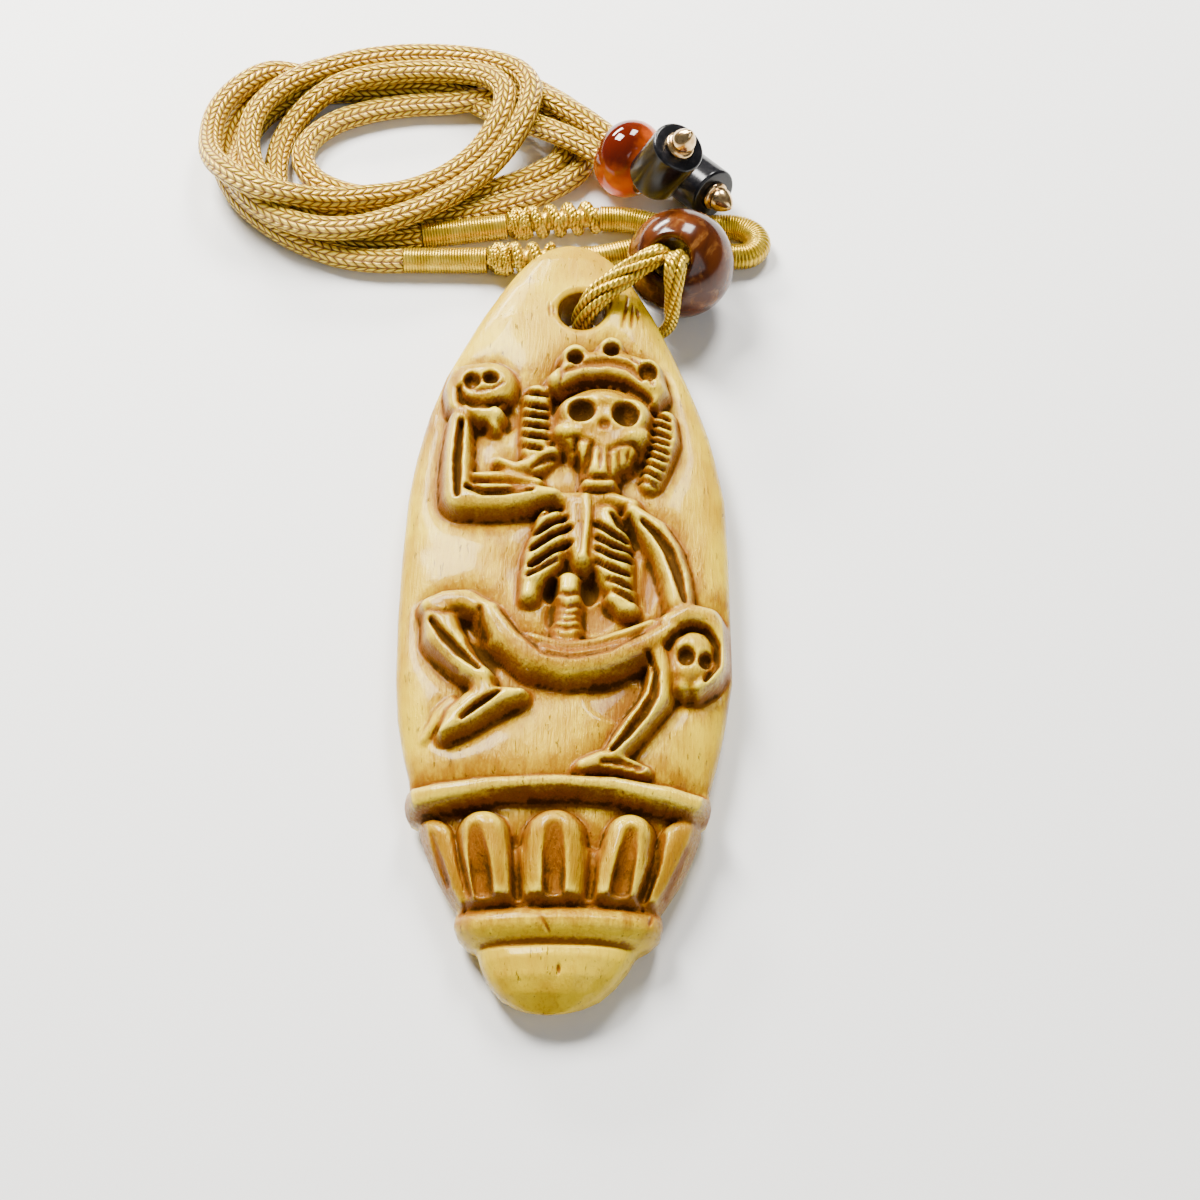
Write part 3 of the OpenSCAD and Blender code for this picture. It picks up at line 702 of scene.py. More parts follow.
# %% cuts
CUTS = read_columns("""
depth | half widths along the path | path
# arc between the crown and the forehead
0.8 | 0.3 0.55 0.55 0.5 0.3 | -0.8 25, 1.4 26, 4.5 26.5, 7.4 25.4, 9.7 23.4
0.4 | 0.2 0.3 0.2 | -0.9 28.6, -0.6 27.2, -0.9 25.8
# hollow between the crown's rim and its knobs
0.55 | 0.3 0.6 0.7 0.6 0.3 | -0.4 27.9, 2 28.9, 4.8 29.2, 7.2 28.4, 8.6 26.6
0.45 | 0.2 0.28 0.2 | -12.3 25.7, -10.6 24.9, -8.6 25.2, -7.5 26.1
0.4 | 0.2 0.3 0.2 | 7.5 29.6, 8.6 28.8, 9.9 25.8
# lips, and the gaps between the teeth
0.4 | 0.15 0.3 0.3 0.25 0.15 | -1.1 17.9, 0.1 18.2, 1.2 18.2, 2.9 17.6, 4 16.6
0.8 | 0.2 0.42 0.25 | 1.2 18.2, 1 16.4, 1.5 14.2
0.9 | 0.25 0.5 0.35 | 2.9 17.6, 2.5 15.4, 2.2 13.4
0.6 | 0.12 0.26 0.15 | 4 16.6, 3.9 15.4, 3.8 13.8
0.7 | 0.15 0.3 0.2 | 4.9 16.8, 4.8 14.9, 5 13.2
0.6 | 0.15 0.28 0.28 0.35 0.35 0.2 | 5 16.5, 6.1 17.3, 7.7 17.3, 8.3 16, 7.4 13.9, 5.9 12.9
0.5 | 0.1 0.24 0.12 | 6.1 16.7, 6 15.4, 6 14
0.5 | 0.1 0.24 0.12 | 7.2 16.6, 7 15.6, 6.8 14.5
0.6 | 0.3 0.4 0.3 | 2 12.6, 3.9 12.7, 5.6 12.5
0.6 | 0.25 0.35 0.25 | 2 10.8, 3.8 10.6, 5.4 10.9
# slots of the left ear ornament
1.3 | 0.25 0.4 0.2 | -4.9 24.6, -3.6 24.6, -2.3 24.2
1.4 | 0.25 0.44 0.2 | -4.9 22.9, -3.6 22.8, -2.2 22.3
1.4 | 0.25 0.44 0.2 | -4.9 21.5, -3.6 21.4, -2.2 21
1.4 | 0.25 0.46 0.2 | -4.9 20.1, -3.6 20, -2.2 19.6
1.4 | 0.25 0.46 0.2 | -4.9 18.6, -3.6 18.5, -2.2 18.1
1.3 | 0.25 0.44 0.2 | -4.9 17, -3.8 16.9, -2.8 16.6
# slots of the right ear ornament
1.1 | 0.2 0.34 0.2 | 10.3 21.3, 11.1 21.2, 11.8 20.7
1.1 | 0.2 0.36 0.2 | 10 20.2, 10.9 20.1, 11.9 19.5
1.1 | 0.2 0.36 0.2 | 9.8 19, 10.8 18.8, 11.8 18.2
1.1 | 0.2 0.36 0.2 | 9.6 17.9, 10.6 17.8, 11.7 17.2
1.1 | 0.2 0.36 0.2 | 9.3 16.9, 10.3 16.8, 11.6 16
1.1 | 0.2 0.36 0.2 | 9.1 15.9, 10.2 15.6, 11.4 14.9
1.1 | 0.2 0.34 0.2 | 8.9 14.8, 9.9 14.5, 11.1 13.6
1.1 | 0.2 0.34 0.2 | 8.6 13.7, 9.6 13.3, 10.7 12.4
1 | 0.2 0.3 0.2 | 8.2 12.5, 9.1 12.1, 10.1 11.5
# leaf, small skull's jaw and hand
0.9 | 0.5 0.7 0.35 0.2 | -1.5 15.4, -1.8 15.4, -3 14.7, -3.8 14
0.9 | 0.3 0.5 0.5 0.5 0.3 | -12.5 25.2, -12.1 23.6, -10.8 22.9, -9 22.8, -7.2 23.3
0.5 | 0.2 0.4 0.2 | -9.9 20, -9.1 19.6, -8.4 19.2
0.4 | 0.4 0.8 0.7 0.3 | -6.9 23.2, -6.4 21.8, -6.4 20.4, -6.8 19.6
# slits between the two bones of each limb
1.5 | 0.3 0.45 0.5 0.42 0.25 | -12.1 20.6, -12.25 17.6, -12.3 15, -12.2 12.6, -12.1 10.3
1.3 | 0.3 0.5 0.55 0.5 0.25 | -11.1 11.4, -9.2 10.7, -7.2 10.8, -5.2 11, -3.7 11.1
1.3 | 0.25 0.55 0.6 0.55 0.25 | 8.6 6.9, 10.3 5, 11.5 2.9, 12.4 0, 13.1 -3.6
1.3 | 0.25 0.5 0.5 0.25 | -14.2 -6.1, -12.7 -8.1, -10.9 -10.1, -8.8 -12
1.1 | 0.2 0.4 0.4 0.2 | -6.5 -14.8, -7.6 -15.6, -9 -16.7, -10.4 -18.1
1.3 | 0.2 0.3 0.55 0.6 0.5 0.3 | 9.1 -10.2, 10 -12.6, 9.7 -15.2, 8.6 -17.4, 7 -19.7, 5.4 -21.7
0.9 | 0.2 0.4 0.3 | 4.2 -23.1, 6.2 -23.3, 8.4 -24
0.45 | 0.15 0.3 0.15 | -14.6 -5, -12.8 -5.2, -10.6 -5, -9.4 -5.8
# gaps between the ribs, left
1 | 0.15 0.25 0.15 | -0.3 8.2, -1.6 8.1, -2.6 7.4
1.5 | 0.3 0.5 0.35 | 0.1 7.1, -1.7 6.5, -3.2 5
1.5 | 0.3 0.5 0.35 | 0.6 5.8, -1.5 4.9, -3.6 3
1.5 | 0.3 0.5 0.35 | 0.6 3.7, -1.5 2.8, -3.7 1
1.1 | 0.25 0.45 0.25 | -0.9 1.6, -2.3 0.9, -4 -0.4
# gaps between the ribs, right
0.9 | 0.25 0.42 0.25 | 7.1 7.2, 7.5 5.4, 7.8 3.9
1.4 | 0.15 0.42 0.3 | 5.2 7.8, 6.1 6.2, 7.4 4.8
1.5 | 0.2 0.46 0.3 | 3.4 6.5, 4.9 5.5, 6.9 4
1.5 | 0.2 0.46 0.3 | 3.6 4.6, 5.3 3.7, 7.3 2.7
1.5 | 0.2 0.46 0.3 | 3.6 3.2, 5.3 2.3, 7.2 1.4
1.4 | 0.2 0.44 0.3 | 3.6 1.3, 5.3 0.6, 7 -0.3
1.1 | 0.25 0.42 0.25 | 4.8 -0.9, 6 -1.1, 7.4 -2.1
1.1 | 0.25 0.42 0.25 | 5.5 -2.3, 6.4 -2.6, 7.5 -3.6
# beside the breastbone
0.35 | 0.12 0.22 0.15 | 1.4 8.8, 1.8 5.6, 1.7 2.4
0.45 | 0.12 0.26 0.15 | 3.2 8.6, 3.1 5.6, 2.7 2
# between the parts of the spine
0.7 | 0.25 0.3 0.25 | -0.8 -2.7, 0.4 -2.9, 1.7 -2.7
0.7 | 0.25 0.3 0.25 | -0.8 -4.3, 0.4 -4.5, 1.7 -4.3
0.6 | 0.2 0.25 0.2 | -0.8 -5.2, 0.4 -5.4, 1.7 -5.3
0.6 | 0.2 0.25 0.2 | -0.8 -6.1, 0.4 -6.2, 1.7 -6.1
0.6 | 0.2 0.3 0.2 | -0.9 -7, 0.4 -7.2, 1.7 -7
# belt along the hip
0.5 | 0.15 0.24 0.26 0.24 0.15 | -4.8 -7.6, -1.8 -10.3, 1.4 -10.7, 5 -9.8, 8.8 -7.7
# arc over the skull cup
1.1 | 0.35 0.42 0.42 0.4 0.4 0.4 0.3 | 11.2 -9.4, 12 -7.9, 13.7 -7.1, 15.4 -7.4, 16.5 -9.2,
16.4 -11.6, 15.2 -13.4
# seam between hip and thigh, and the hollow of the shin
0.7 | 0.3 0.4 0.3 | -9 -4.6, -8.9 -6.6, -8 -8.8
0.6 | 0.2 0.35 0.2 | -6.8 -4.8, -4.6 -7.6, -2.6 -9.4
""")
print(len(CUTS), "cuts")

# %% [markdown]
# The pits of the eyes and of the crown's knobs, and some shallow hollows, are round mounds that
# are taken off the height. The patches where stain has stayed on the high parts are mounds
# that are added to the stain. The bone's own fine cracks are thin bands.

# %% pits
PITS = read_columns("""
depth | centre | radii | turn
2.1 | 1.7 22.2 | 1.55 1.6 | 0
2.1 | 6.8 21.7 | 1.55 1.75 | 10
0.6 | 4.3 20.1 | 0.75 0.85 | 0
1.5 | 0.85 30 | 1 0.95 | 0
1.5 | 5.1 31.15 | 1 1 | 0
1.6 | 9.35 27.85 | 1.1 1.3 | 20
1.4 | -11.05 26.45 | 1.05 1.05 | 0
1.4 | -8.95 26.85 | 1 0.9 | -15
1.3 | 13.2 -10.5 | 1 1.2 | 0
1.3 | 15.2 -11.1 | 0.8 1 | 0
1.2 | -1.3 -1.9 | 0.95 1.5 | 0
1.3 | 2.75 -2 | 1.1 1.7 | 0
0.5 | -0.9 -4.9 | 1.2 1.9 | -20
0.5 | 3.5 -5.4 | 2.2 1.9 | 20
0.5 | -8.6 -10.4 | 1 2.6 | 40
0.4 | 5.4 -15.5 | 3 2.6 | 0
0.4 | 9.2 -1.2 | 0.9 3.6 | 0
""")
print(len(PITS), "pits")

# %% patches where the stain has stayed on the high parts
STAINED = read_columns("""
strength | centre | radii | turn
0.34 | 1.5 -10.2 | 9.5 2.6 | 0
0.26 | -7.6 -6.8 | 3.8 1.8 | -38
0.24 | 10 -7.6 | 3.4 2 | 35
0.3 | -12.6 -11 | 1.6 3.6 | 20
0.22 | 7 -16 | 1.6 5 | -25
0.2 | 0.5 -30.4 | 5.2 2.6 | 0
0.12 | -8.6 -33 | 2.6 4 | 0
0.1 | 10.4 -33 | 2.6 4 | 0
0.24 | -2 -26 | 16 1.4 | 0
0.22 | 1.5 22 | 7 1.6 | 0
0.2 | -14.5 12.5 | 1.6 6 | 0
0.18 | 12.5 4 | 1.8 6 | -12
""")
print(len(STAINED), "stained patches")

# %% natural cracks in the bone, one path to a row
CRACKS = [read_places(row) for row in """
-2.4 38.4, -2.2 36.6
-1.9 38.2, -1.8 36.7
7 39.6, 6.7 37.2, 6.3 34.9
7.6 38.3, 7.4 34.8
5 39.5, 4.8 37.8
8.1 37.8, 8.2 36.2
-1.6 -39.9, -1.1 -40.8, -0.6 -41.8
0.2 -45, 0.3 -45.9
9.3 -40, 9.1 -40.9
""".strip().splitlines()]
print(len(CRACKS), "cracks")

# %% [markdown]
# The head is built up like a real skull: a round brow, bulging cheeks and a rim round each
# eye. The lotus below stands on the plaque as bent petals with a deep channel in each, under
# a rim like the edge of a seat, and a ring and a smooth bud close the tip.

# %% mounds of the large skull
MOUNDS = read_columns("""
height | centre | radii | turn
2.7 | 4.1 21.4 | 5.8 4.9 | 0
2.9 | 1.4 22.3 | 2.9 2.7 | 0
2.9 | 7.1 21.8 | 2.9 2.9 | 0
2.9 | 4.2 23.4 | 3.4 2.2 | 0
2.5 | 0.7 19.2 | 2.7 1.8 | -15
2.5 | 7.3 18.5 | 2.7 1.9 | 20
2.7 | 4.2 19.4 | 1.3 2 | 0
""")
print(len(MOUNDS), "mounds")

# %% lotus: petals, the cuts between them, and the rim, as seen on a level of 7 mm
PETALS = read_columns("""
height | half widths along the path | path
1.2 | 2.2 2.2 1.8 | -12.9 -31.4, -11.9 -34, -10.4 -39
1.2 | 2.4 2.2 1.8 | 12.6 -31.6, 11.6 -34.4, 9.6 -39
0.8 | 3.2 3.2 3.2 | -7 -35.2, -2 -35.2, 6.4 -35.6
0.8 | 2.6 2.6 2.6 | -7 -37.4, 0 -37.4, 5.8 -37.6
2.2 | 2.6 2.8 2.5 | -7.7 -30.9, -7.3 -34, -6.5 -39.5
2.3 | 3.1 3.3 3 | -0.4 -31.2, -0.4 -34, -0.5 -39.5
2.2 | 2.5 2.8 2.5 | 7.2 -31.1, 6.7 -34.2, 5.6 -39.5
""")
CHANNELS = read_columns("""
depth | half widths along the path | path
1.5 | 0.75 1.05 1.1 1 | -8.4 -31, -8.2 -32.6, -7.8 -34.6, -7.2 -38.6
1.6 | 0.95 1.15 1.15 1.1 | -0.45 -31, -0.45 -32.6, -0.4 -34.6, -0.4 -38.4
1.5 | 0.7 1 1.1 1.1 | 7.35 -31.3, 7.1 -32.8, 6.7 -34.8, 6 -38.8
1.3 | 0.45 0.6 0.6 | -4.5 -31, -4.3 -34, -4 -38.2
1 | 0.5 0.6 0.6 | 3.5 -32.4, 3.4 -34.8, 3.2 -38.4
1.2 | 0.4 0.65 0.65 | 10.5 -31, 9.7 -34.4, 8 -39.4
0.8 | 0.25 0.4 0.3 | -12.9 -31.2, -12.1 -33.6, -11 -36.6
0.5 | 0.2 0.3 0.2 | 13 -32.6, 12.2 -34.6, 10.6 -38
0.7 | 0.3 0.45 0.4 | -10.6 -31, -9.9 -33.8, -8.7 -38
""")
RIM = read_columns("""
height | half widths along the path | path
1.9 | 1.6 1.35 1.15 1.05 1.15 1.35 1.6 | -16.4 -28, -12.4 -26.7, -7 -25.7, -0.5 -25.3, 5.5 -25.7,
11 -26.9, 15.8 -28.8
""")
print(len(PETALS), "petals,", len(CHANNELS), "channels")

# %% raise the figure and the lotus
FIGURE_LEVEL, LOTUS_LEVEL = 8, 7
PETAL_FOOT = -38.3
on_base = seen_at(LOTUS_LEVEL)
raised = np.zeros(x.shape)
for rise, widths, path in RAISED:
    seen = seen_at(FIGURE_LEVEL, 0.2 + rise / 2)
    raised = np.maximum(raised, rise * band(seen, path, widths, 2.3))
for rise, centre, radii, turn in MOUNDS:
    seen = seen_at(FIGURE_LEVEL, rise * 0.8)
    raised = np.maximum(raised, rise * mound(seen, centre, radii, turn))
on_figure = seen_at(FIGURE_LEVEL, np.maximum(blurred(raised, 6), 0.6))
petals = highest(PETALS, on_base, 2.6) * np.clip((y - PETAL_FOOT) / 0.5, 0, 1)
raised = blurred(np.maximum.reduce([raised, petals, highest(RIM, on_base, 3.2)]), 1)
print("raised share of the front", round(float((raised > 0.05).mean()), 2))

# %% cut into them
CHANNEL_HEAD, CHANNEL_FOOT, CHANNEL_RUN = -29.5, -38, 6
CRACK_DEPTH, CRACK_WIDTHS = 0.35, (0.1, 0.22, 0.1)
cracks = [(CRACK_DEPTH, CRACK_WIDTHS, path) for path in CRACKS]
deeper = np.clip((CHANNEL_HEAD - on_base[1]) / CHANNEL_RUN, 0.2, 1)
deeper *= np.clip((y - CHANNEL_FOOT) / 0.6, 0, 1)
cut = np.maximum(highest(CUTS + cracks, on_figure, 2.0), highest(CHANNELS, on_base, 1.6) * deeper)
for depth, centre, radii, turn in PITS:
    cut = np.maximum(cut, depth * mound(on_figure, centre, radii, turn, 2.4))
print("deepest cut", round(float(cut.max()), 2), "mm")

# %% [markdown]
# The ground falls away a little round the figure, where the carver cut it back. Years of wear
# leave it slightly wavy, and round off the mouth of the hole.

# %% ground, waves and wear
GROUND_DROP, WAVES, MOUTH_WEAR, MOUTH_REACH = 0.8, 0.16, 0.5, 0.9
foot = blurred(np.minimum(raised, 1.2), 40)
ground = -GROUND_DROP * np.clip(blurred(foot, 60) * 1.5, 0, 1) * (raised < 0.05)
wave = blurred(np.random.default_rng(7).normal(0, 1, x.shape), 60)
wave /= np.abs(wave).max()
side_fade = np.clip((1 - np.abs(share[None])) * 16, 0, 1)
from_rim = np.hypot(x - HOLE_AT[0], y - HOLE_AT[1]) - HOLE_R
worn = -MOUTH_WEAR * np.clip(1 - from_rim / MOUTH_REACH, 0, 1) ** 2
relief = blurred(raised + ground - cut, 1) * side_fade + WAVES * wave + worn
front_z = smooth + relief
print("carving from", round(float(relief.min()), 2), "to", round(float(relief.max()), 2), "mm")

# %% close the skin round the sides and the back
BACK_DIP, BACK_FULLNESS, END_ROUNDING = 0.6, 0.45, 2.2
angle = np.linspace(0, np.pi, BACK + 2)[1:-1]
low = bow + lift - BACK_DIP * half / HALF_W
back_x = middle_x[:, None] + half[:, None] * np.cos(angle)[None]
drop = (edge - low)[:, None] * np.sin(angle)[None] ** BACK_FULLNESS
back_z = np.maximum(edge[:, None] - drop, 0)
ring_x = np.concatenate([x, back_x], 1)
ring_z = np.concatenate([front_z, back_z], 1)
end = np.clip((HALF_L - np.abs(along)) / END_ROUNDING, 0.02, 1)
swell = np.sqrt(1 - (1 - end) ** 2)[:, None]
middle = (edge * 0.55 + top * 0.45)[:, None]
ring_z = middle + (ring_z - middle) * swell
points = np.stack([ring_x, np.broadcast_to(along[:, None], ring_x.shape), ring_z], -1)
pendant = smooth_skin("bone_pendant_carved", points.reshape(-1, 3),
                      faces_over(ROWS, ring_x.shape[1]))
face_outwards(pendant)
print("pendant points", len(pendant.data.vertices))

# %% [markdown]
# Stain settles where the surface lies lower than what is round it, and wear takes it off the
# high parts. The same mark also darkens recesses, cuts, creases and steep walls as painted
# shade. Three marks are kept with the skin for its material: how deep in stain and painted shade
# a point lies, how proud it stands, and how near to the carving it is. The gains were set.

# %% marks for the stain
RING_TOP, LOTUS_TOP = -36, -28.2
# This mark is partly stain and partly painted shade: it darkens recesses, cuts, creases and steep
# walls.
near, wide = blurred(relief, 4), blurred(relief, 26)
crease = np.clip((blurred(smooth, 20) - smooth) * 2.2, 0, 1) * (y < RING_TOP) * side_fade
hollow = np.clip((near - relief) * 3.2, 0, 1) * 0.5 + np.clip((wide - relief) * 1.1, 0, 1) * 0.7
hollow += np.clip(cut * 1.4, 0, 1) * 0.6 + crease * 0.8
hollow = np.where(y < LOTUS_TOP, np.minimum(hollow, 0.85), hollow)
steep = np.hypot(np.gradient(relief, axis=0) / np.gradient(y, axis=0),
                 np.gradient(relief, axis=1) / np.gradient(x, axis=1))
hollow += np.clip(steep - 0.5, 0, 1) * 0.35 * side_fade
for amount, centre, radii, turn in STAINED:
    hollow += amount * mound(on_figure, centre, radii, turn)
proud = np.clip((relief - wide) * 1.3, 0, 1)
near_carving = np.maximum(foot, np.clip(blurred(foot, 400) * 1.7, 0, 0.62))
bare = np.zeros((ROWS, BACK))
for mark, values in (("stain_and_shade", hollow), ("proud", proud), ("near_carving", near_carving)):
    pendant.data.attributes.new(mark, "FLOAT", "POINT").data.foreach_set(
        "value", np.concatenate([values, bare], 1).astype(np.float32).ravel())
    print(mark, "mean", round(float(values.mean()), 2))

# %% [markdown]
# The thread's hole goes right through, which heights can't describe, so a Boolean with a round
# drill cuts it through the finished skin.

# %% drill the hole for the thread
bpy.ops.object.select_all(action="DESELECT")
bpy.ops.mesh.primitive_cylinder_add(vertices=64, radius=HOLE_R * MM, depth=30 * MM,
                                    location=mm(HOLE_AT[0], HOLE_AT[1], 5))
drill = bpy.context.object
bpy.context.view_layer.objects.active = pendant
cutter = pendant.modifiers.new("hole", "BOOLEAN")
cutter.operation, cutter.solver, cutter.object = "DIFFERENCE", "MANIFOLD", drill
bpy.ops.object.modifier_apply(modifier="hole")
bpy.data.objects.remove(drill)
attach(pendant, "root")
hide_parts("bone_pendant")
print("pendant faces", len(pendant.data.polygons))

# %% [markdown]
# Old bone is cream where it is rubbed and honey yellow elsewhere, and the cream on the high parts
# is partly a painted highlight. A dark brown stain is rubbed into the cuts, and the same dark
# layers are painted shade in recesses and on steep walls. Short dark pores run lengthwise. It
# has been polished, so the high parts shine more than the ground.

# %% bone material
HONEY, PALE_HONEY, CREAM_WEAR_AND_HIGHLIGHT = (0.46, 0.268, 0.0002), (0.69, 0.475, 0.0005), (0.92, 0.72, 0.05)
DRIFT_BROWN, GRAIN_BROWN, WASH = (0.33, 0.145, 0.001), (0.30, 0.13, 0.001), (0.23, 0.082, 0.0003)
DIRT_AND_SHADE, DARK_STAIN_AND_SHADE = (0.175, 0.043, 0.0003), (0.032, 0.006, 0.0002)
PORE, HOLE_WALL = (0.10, 0.03, 0.001), (0.10, 0.028, 0.0003)
GOLDEN = (1.0, 0.78, 0.10, 1)
bone = Shader("carved_bone", Specular_IOR_Level=0.42, Specular_Tint=GOLDEN, Coat_Roughness=0.10)
stain_and_shade = bone.attribute("stain_and_shade") * (bone.noise(0.8, 4, 0.66) * 1.3 + 0.35)
proud_worn_and_lit, near_carving = bone.attribute("proud"), bone.attribute("near_carving")
cloud = bone.noise(0.09, 3, 0.6)
drift = bone.noise(0.42, 4, 0.62, (1, 0.35, 1))
pores = bone.noise(1.5, 3, 0.65, (1.9, 0.3, 1.9))
fine = bone.noise(3.2, 4, 0.7)
mottle = bone.noise(0.7, 4, 0.68, (1.2, 0.5, 1.2))
grain = bone.noise(1.0, 4, 0.62, (3.0, 0.35, 3.0))
top = proud_worn_and_lit.step(0.05, 0.6)
wash = (near_carving * (mottle * 1.6 - 0.15)).step(0.10, 0.50) * (1 - top * 0.85)
pore = pores.step(0.64, 0.70)
# The dirt and dark layers follow the mark of stain and shade, so they are partly stain and partly
# painted shade.
dirt_and_shade = (stain_and_shade + (fine - 0.5) * 0.4 + (grain - 0.5) * 0.4).step(0.0, 0.58)
dark_stain_and_shade = (stain_and_shade + (fine - 0.5) * 0.35).step(0.70, 1.30)
from_hole = bone.vectors("DISTANCE", bone.place((1, 1, 0)), (*HOLE_AT, 0), 1)
wall = 1 - from_hole.step(HOLE_R - 0.02, HOLE_R + 0.35)
# The cream on proud parts is partly wear and partly a painted highlight.
colour = bone.layers(
    HONEY, (cloud.step(0.34, 0.66), PALE_HONEY), (drift.step(0.45, 0.75) * 0.5, DRIFT_BROWN),
    (grain.step(0.50, 0.72) * 0.35, GRAIN_BROWN), (wash * 0.85, WASH),
    (proud_worn_and_lit.step(0.25, 1.0) * (drift * 0.8 + 0.35), CREAM_WEAR_AND_HIGHLIGHT), (pore * 0.7, PORE),
    (dirt_and_shade * 0.95, DIRT_AND_SHADE), (dark_stain_and_shade * 0.93, DARK_STAIN_AND_SHADE), (wall * (0.55 + mottle * 0.6), HOLE_WALL))
rough = drift * 0.4 + fine * 0.25 + mottle * 0.4 + grain * (0.5 + near_carving) - pore * 0.9
bone.set(Base_Color=colour, Roughness=0.15 + dirt_and_shade * 0.3 + dark_stain_and_shade * 0.35 + fine * 0.10 - top * 0.03,
         Coat_Weight=0.13 + top * 0.22 - dirt_and_shade * 0.06 - dark_stain_and_shade * 0.07,
         Normal=bone.bump(rough, 0.13))
pendant.data.materials.clear()
pendant.data.materials.append(bone.material)
print("bone shader nodes", len(bone.tree.nodes))

# %% [markdown]
# ## Wound thread, knots and the hanging loop
#
# Gold thread is wound tightly round the cord where it runs behind the brown bead, so those
# stretches look like smooth ribbed rods. Beside them a thicker twisted thread is wound in
# open turns. The hanging loop is a small bundle of the same thread. The sleeves' turns are too
# fine to be seen one by one, so they are ribs on one tube, and all other threads are tubes of
# their own.

# %% gold thread material
WINDING, BRIGHT_GOLD = 0.36, (0.90, 0.68, 0.08)


def gold_thread(name, depth, groove_shade, crest, lines):
    """Shiny thread with lines that deep in mm, and colours for the painted shade in its grooves and
    for its crests. lines makes their height from the three numbers of the lie."""
    shader = Shader(name, Metallic=0.75)
    lie = shader.attribute("lie", "Vector")
    height = lines(*[shader.node("SeparateXYZ", k, Vector=lie) for k in range(3)])
    patch = shader.noise(0.5, 3, 0.6)
    fleck = shader.noise(3.0, 3, 0.6)
    colour = shader.layers(groove_shade, (height.step(0.0, 0.7), crest),
                           (patch.step(0.4, 0.7) * 0.4, BRIGHT_GOLD))
    shader.set(Base_Color=colour, Roughness=0.22 + fleck * 0.16,
               Normal=shader.bump(height + fleck * 0.25, depth))
    return shader.material


def rings_of_thread(cosine, sine, along):
    """A round rib for each turn of the winding."""
    return ((along / WINDING).maths("FRACT") * math.pi).maths("SINE")


def twisted_strands(cosine, sine, along):
    """Three strands that run slantwise round the thread."""
    return (sine.maths("ARCTAN2", cosine) * 3 + along * 9).maths("SINE") * 0.5 + 0.5


# The darker of the two colours of each thread is painted shade in its grooves, between turns or
# strands.
ribbed = gold_thread("wound_thread", depth=0.05, groove_shade=(0.15, 0.078, 0.001),
                     crest=(0.60, 0.375, 0.005), lines=rings_of_thread)
twisted = gold_thread("twisted_thread", depth=0.10, groove_shade=(0.26, 0.14, 0.002),
                      crest=(0.86, 0.58, 0.020), lines=twisted_strands)
print("thread materials", ribbed.name, "and", twisted.name)

# %% wound sleeves
SLEEVE_R, RIB = 1.55, 0.06
SLEEVES = {
    "sleeve_upper": "-18.95 54.4 1.6, -13.8 55.2, -8.3 55.9 1.8",
    "sleeve_apex": """
3.5 57.3 1.8, 7.5 57.2 1.6, 11.2 56.2, 15 55.75, 18.2 56.1, 21 56, 22.9 54.9, 23.5 53.1, 22.4 51.5
20.4 51.2, 18.5 51.8, 16.8 52.4, 14.9 52.4, 11.2 52.4, 7.5 51.9, 3 50.8, -2.35 50.2 1.8
""",
    "sleeve_lower": "-10.5 50.2 1.8, -15.8 50.3 1.6, -20.95 50.3",
}
wound_parts = {}
for node, text in SLEEVES.items():
    line = smooth_route(read_route(text), WINDING / 4)
    turns = np.arange(len(line)) / 4
    radius = (SLEEVE_R + RIB * np.sin(np.pi * (turns % 1)))[:, None]
    wound_parts[node] = as_piece(node + "_wound", [tube(line, 20, radius)], ribbed, node)
    print(node, round(float(gone_along(line)[-1]), 1), "mm long")

# %% spiral knots
TWIST, CORE_R = 1.5, 1.2


def wound(route, radius, pitch, start):
    """The path of a thread wound round a route, with its pitch in mm for each turn."""
    side, across = rings_along(route)
    turn = (start + 2 * np.pi * gone_along(route) / pitch)[:, None]
    return route + np.reshape(radius, (-1, 1)) * (np.cos(turn) * side + np.sin(turn) * across)


def twisted_cord(route, out, pitch, start, thickness):
    """Three threads twisted together, wound round a route in open turns."""
    turns = smooth_route(wound(route, out, pitch, start)[::8], 0.16)
    return [tube(wound(turns, thickness * 0.52, TWIST, k * 2.1), 7, thickness * 0.56)
            for k in range(3)]


KNOTS = {
    "knot_upper": "-8.25 55.9 2.15, -2.4 56.6, 3.45 57.3",
    "knot_lower": "-10.45 50.2 2.15, -6.5 50.2, -2.4 50.2",
}
for node, text in KNOTS.items():
    line = smooth_route(read_route(text), 0.05)
    parts = [tube(np.vstack([line[:-4:8], line[-1:]]), 20, CORE_R)]
    parts += twisted_cord(line[30:-3], out=1.45, pitch=2.25, start=0.4, thickness=0.72)
    # both ways round over the head of the knot, where the threads cross
    for pitch, start in ((2.9, 0.0), (2.9, 3.1), (-2.9, 1.4), (-2.9, 4.5)):
        parts += twisted_cord(line[8:64], out=1.5, pitch=pitch, start=start, thickness=0.55)
    wound_parts[node] = as_piece(node + "_wound", parts, twisted, node)
    print(node, "faces", len(wound_parts[node].data.polygons))

# %% hanging loop
bead_at = np.array([13.4, 45.6, 6.6])
mouth_way, mouth_side = np.array([-0.2486, -0.5481, 0.7986]), np.array([0.9107, -0.4131, 0])
LEG_OFF, MOUTH, LOOP_PITCH = 1.05, 5.2, 26


def in_bore(s, side):
    """A place in the brown bead's hole: how far along it, and which of the two legs."""
    return bead_at + s * mouth_way + side * LEG_OFF * mouth_side


